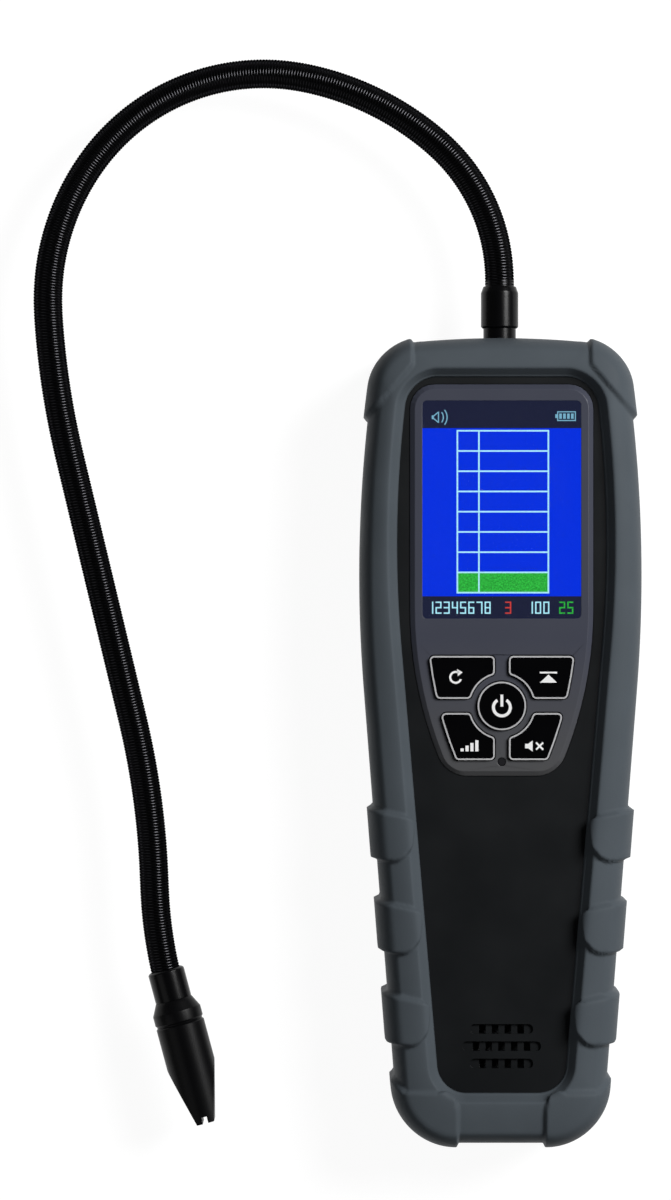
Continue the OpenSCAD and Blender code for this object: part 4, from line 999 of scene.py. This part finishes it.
class LEAK_OT_neck(bpy.types.Operator):
    """Bendable neck of fine turns, in lengths that each reach over one joint"""
    bl_idname = "leak_detector.neck"
    bl_label = "Neck"

    around = 28
    rows_per_turn = 8
    crest_share = 0.55
    bend_share = 0.9

    def execute(self, context):
        settings = context.scene.leak_neck
        pitch, crest, groove = (v / MM for v in (settings.pitch, settings.crest, settings.groove))
        black = lacquered("neck lacquer", settings.lacquer, roughness=0.2)
        # Painted shade: the grooves between the turns get a dark matte finish instead of the lacquer, so
        # only the crests shine.
        gap = moulded("neck groove shade", settings.colour, roughness=0.7, grain=1500, depth=0.005, specular=0.02)
        s, points, heading, ends = neck_path()
        angle = np.linspace(0, 2 * np.pi, self.around, endpoint=False)
        joints = ends[1:-1]
        cuts = [0.0] + [(a + b) / 2 for a, b in zip(joints[:-1], joints[1:])] + [ends[-1]]
        for i, joint in enumerate(joints):
            first, last = cuts[i], cuts[i + 1]
            count = int(round((last - first) / pitch * self.rows_per_turn))
            length = np.linspace(first, last, count + 1)
            turn = np.interp(length, s, heading)
            middle = points_along(length, s, points)
            phase = length[:, None] / pitch - angle[None, :] / (2 * np.pi)
            across = 2 * (phase % 1) - 1
            radius = crest - groove * (1 - np.sqrt(1 - across ** 2))
            side = radius * np.cos(angle)
            x = middle[:, :1] + side * np.sin(turn)[:, None]
            y = middle[:, 1:] - side * np.cos(turn)[:, None]
            z = NECK_HEIGHT + radius * np.sin(angle)
            rows = np.stack([x, y, z], axis=2).reshape(-1, 3)
            faces = ring_faces(count + 1, self.around, False)
            faces.append(tuple(range(self.around - 1, -1, -1)))
            faces.append(tuple(range(count * self.around, (count + 1) * self.around)))
            piece = new_piece("neck_length_%d" % (i + 1), rows, faces, (black, gap))
            # Faces between the crests take the painted groove shade.
            centre = (phase[:-1] + phase[1:]) / 2 - 0.5 / self.around
            in_shaded_groove = np.abs(2 * (centre % 1) - 1) > self.crest_share
            slots = np.append(in_shaded_groove.ravel(), (True, True)).astype(np.int32)
            piece.data.polygons.foreach_set("material_index", slots)
            replaced = ["gooseneck_%d" % (i + 1)] + (["gooseneck_8"] if i == len(joints) - 1 else [])
            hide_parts(*replaced)
            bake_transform(piece)
        return {"FINISHED"}


class LEAK_OT_tip(bpy.types.Operator):
    """Sleeve at the neck's foot and the probe's tip"""
    bl_idname = "leak_detector.tip"
    bl_label = "Sleeve and tip"

    def execute(self, context):
        colour = context.scene.leak_neck.colour
        shrunk = moulded("shrunk sleeve", colour, roughness=0.26, grain=500, mottle=0.1, specular=0.15)
        cap = moulded("tip plastic", colour, roughness=0.36, mottle=0.1, specular=0.12)
        dress("neck_sleeve", shrunk, edge=0.2)
        dress("tip_collar", shrunk, edge=0.2)
        dress("neck_socket", shrunk)
        dress("tip_ring", cap, edge=0.1)
        dress("tip_cap", cap, edge=0.25)
        return {"FINISHED"}


class LEAK_OT_inside(bpy.types.Operator):
    """Finishes of the pieces inside the case and the tip"""
    bl_idname = "leak_detector.inside"
    bl_label = "Inside"

    def execute(self, context):
        steel = metal("plated steel", (0.6, 0.6, 0.61), roughness=0.32)
        alloy = metal("drawn alloy", (0.72, 0.73, 0.74), roughness=0.28, stretch=(1, 30, 1))
        wrap = moulded("cell wrap", (0.05, 0.12, 0.3), roughness=0.3, grain=300, depth=0.004, coat=0.3)
        board = moulded("board lacquer", (0.012, 0.1, 0.035), roughness=0.35, grain=900, depth=0.01,
                        coat=0.4)
        mat = moulded("mat rubber", (0.26, 0.27, 0.29), roughness=0.6, grain=1800)
        dark = moulded("inner plastic", (0.025, 0.027, 0.03), roughness=0.5)
        foam = moulded("foam", (0.006, 0.006, 0.006), roughness=0.9, grain=700, depth=0.3, mottle=0.3)
        tube = moulded("tube rubber", (0.58, 0.6, 0.63), roughness=0.4, grain=200, depth=0.01, mottle=0.04)
        felt = moulded("filter felt", (0.68, 0.65, 0.58), roughness=0.95, grain=1200, depth=0.2,
                       mottle=0.1, sheen=0.3)
        panel = moulded("panel edge", (0.02, 0.02, 0.025), roughness=0.4)
        finishes = {
            "display_panel": panel, "display_frame": steel, "key_mat": mat, "main_board": board,
            "board_screws": steel, "speaker": dark, "speaker_gasket": foam, "battery_cells": wrap,
            "battery_springs": steel, "battery_plates": steel, "pump_motor": alloy, "pump_head": dark,
            "intake_tube": tube, "neck_nut": steel, "neck_washer": foam, "tip_sensor": alloy,
            "tip_filter": felt,
        }
        for node, material in finishes.items():
            dress(node, material)
        return {"FINISHED"}


def aim(thing, target):
    direction = Vector(target) - thing.location
    thing.rotation_euler = direction.to_track_quat("-Z", "Y").to_euler()


def add_lamp(name, power, size, location, target):
    data = bpy.data.lights.new(name, "AREA")
    data.shape = "DISK"
    data.size = size
    data.energy = power
    lamp = bpy.data.objects.new(name, data)
    lamp.location = location
    aim(lamp, target)
    bpy.context.scene.collection.objects.link(lamp)


def seen_directly(tree):
    """1 for rays from the camera and for those that gloss or clear pieces send on."""
    path = tree.nodes.new("ShaderNodeLightPath")
    total = path.outputs["Is Camera Ray"]
    for name in ("Is Glossy Ray", "Is Transmission Ray"):
        join = tree.nodes.new("ShaderNodeMath")
        join.operation = "MAXIMUM"
        tree.links.new(total, join.inputs[0])
        tree.links.new(path.outputs[name], join.inputs[1])
        total = join.outputs[0]
    return total


class LEAK_OT_stage(bpy.types.Operator):
    """White floor, soft lamps and the camera above"""
    bl_idname = "leak_detector.stage"
    bl_label = "Stage"

    view_x, view_y = -44.3, 38.1
    aim_height = 0.02
    key_size, key_place = 0.55, (0.68, 0.42, 0.82)
    fill_size, fill_place = 0.9, (-0.75, -0.55, 0.8)
    sensor_width = 36
    floor_half = 2.5
    floor_gap = 0.05
    paper_tone, paper_glow = 0.16, 0.94

    # Walls and ceiling of the room, as the upward part of a direction, and the ceiling's share of the light
    wall_top, ceiling_start, ceiling_share = 0.25, 0.85, 0.12

    def execute(self, context):
        settings = context.scene.leak_stage
        scene = context.scene
        scene.view_settings.view_transform = "Standard"
        self.add_floor()
        self.add_world(scene, settings.world_light)
        centre = (self.view_x * MM, self.view_y * MM, self.aim_height)
        add_lamp("key lamp", settings.key_power, self.key_size, self.key_place, centre)
        add_lamp("fill lamp", settings.fill_power, self.fill_size, self.fill_place, centre)
        data = bpy.data.cameras.new("camera")
        data.sensor_width = self.sensor_width
        data.lens = data.sensor_width * (settings.camera_height - NECK_HEIGHT * MM) / settings.view_length
        camera = bpy.data.objects.new("camera", data)
        camera.location = (self.view_x * MM, self.view_y * MM, settings.camera_height)
        scene.collection.objects.link(camera)
        scene.camera = camera
        return {"FINISHED"}

    def add_floor(self):
        half = self.floor_half / MM
        under = -self.floor_gap
        points = [(x, y, under) for x, y in bar(-half, -half, half, half)]
        material = bpy.data.materials.new("floor paper")
        material.use_nodes = True
        tree = material.node_tree
        tree.nodes.remove(tree.nodes["Principled BSDF"])
        paper = tree.nodes.new("ShaderNodeBsdfDiffuse")
        paper.inputs["Color"].default_value = (self.paper_tone, self.paper_tone, self.paper_tone, 1)
        glow = tree.nodes.new("ShaderNodeEmission")
        bright = tree.nodes.new("ShaderNodeMath")
        bright.operation = "MULTIPLY"
        bright.inputs[1].default_value = self.paper_glow
        tree.links.new(seen_directly(tree), bright.inputs[0])
        tree.links.new(bright.outputs[0], glow.inputs["Strength"])
        both = tree.nodes.new("ShaderNodeAddShader")
        tree.links.new(paper.outputs[0], both.inputs[0])
        tree.links.new(glow.outputs[0], both.inputs[1])
        tree.links.new(both.outputs[0], tree.nodes["Material Output"].inputs["Surface"])
        floor = new_piece("floor", points, [(0, 1, 2, 3)], material, smooth=False)

    def add_world(self, scene, light):
        world = bpy.data.worlds.new("room")
        world.use_nodes = True
        tree = world.node_tree
        background = tree.nodes["Background"]
        background.inputs["Color"].default_value = (1, 1, 1, 1)
        up = tree.nodes.new("ShaderNodeSeparateXYZ")
        tree.links.new(tree.nodes.new("ShaderNodeTexCoord").outputs["Generated"], up.inputs[0])
        ceiling = light * self.ceiling_share
        room = spread(tree, up.outputs["Z"], light, ceiling, self.wall_top, self.ceiling_start)
        tree.links.new(room, background.inputs["Strength"])
        scene.world = world


STEPS = (LEAK_OT_boot, LEAK_OT_case, LEAK_OT_screws, LEAK_OT_keys, LEAK_OT_display, LEAK_OT_neck,
         LEAK_OT_tip, LEAK_OT_inside, LEAK_OT_stage)
SETTINGS = {"leak_boot": BootSettings, "leak_case": CaseSettings, "leak_display": DisplaySettings,
            "leak_neck": NeckSettings, "leak_stage": StageSettings}


class LEAK_PT_panel(bpy.types.Panel):
    """Settings and steps of the leak detector"""
    bl_label = "Leak detector"
    bl_idname = "LEAK_PT_panel"
    bl_space_type = "VIEW_3D"
    bl_region_type = "UI"
    bl_category = "Leak detector"

    def draw(self, context):
        for name, group in SETTINGS.items():
            box = self.layout.box()
            box.label(text=group.__doc__)
            for setting in group.__annotations__:
                box.prop(getattr(context.scene, name), setting)
        for step in STEPS:
            self.layout.operator(step.bl_idname)


CLASSES = (*SETTINGS.values(), *STEPS, LEAK_PT_panel)


def register():
    for cls in CLASSES:
        bpy.utils.register_class(cls)
    for name, group in SETTINGS.items():
        setattr(bpy.types.Scene, name, bpy.props.PointerProperty(type=group))


def unregister():
    for name in SETTINGS:
        delattr(bpy.types.Scene, name)
    for cls in reversed(CLASSES):
        bpy.utils.unregister_class(cls)


def main():
    register()
    for step in STEPS:
        group, name = step.bl_idname.split(".")
        getattr(getattr(bpy.ops, group), name)()


if __name__ == "__main__":
    main()
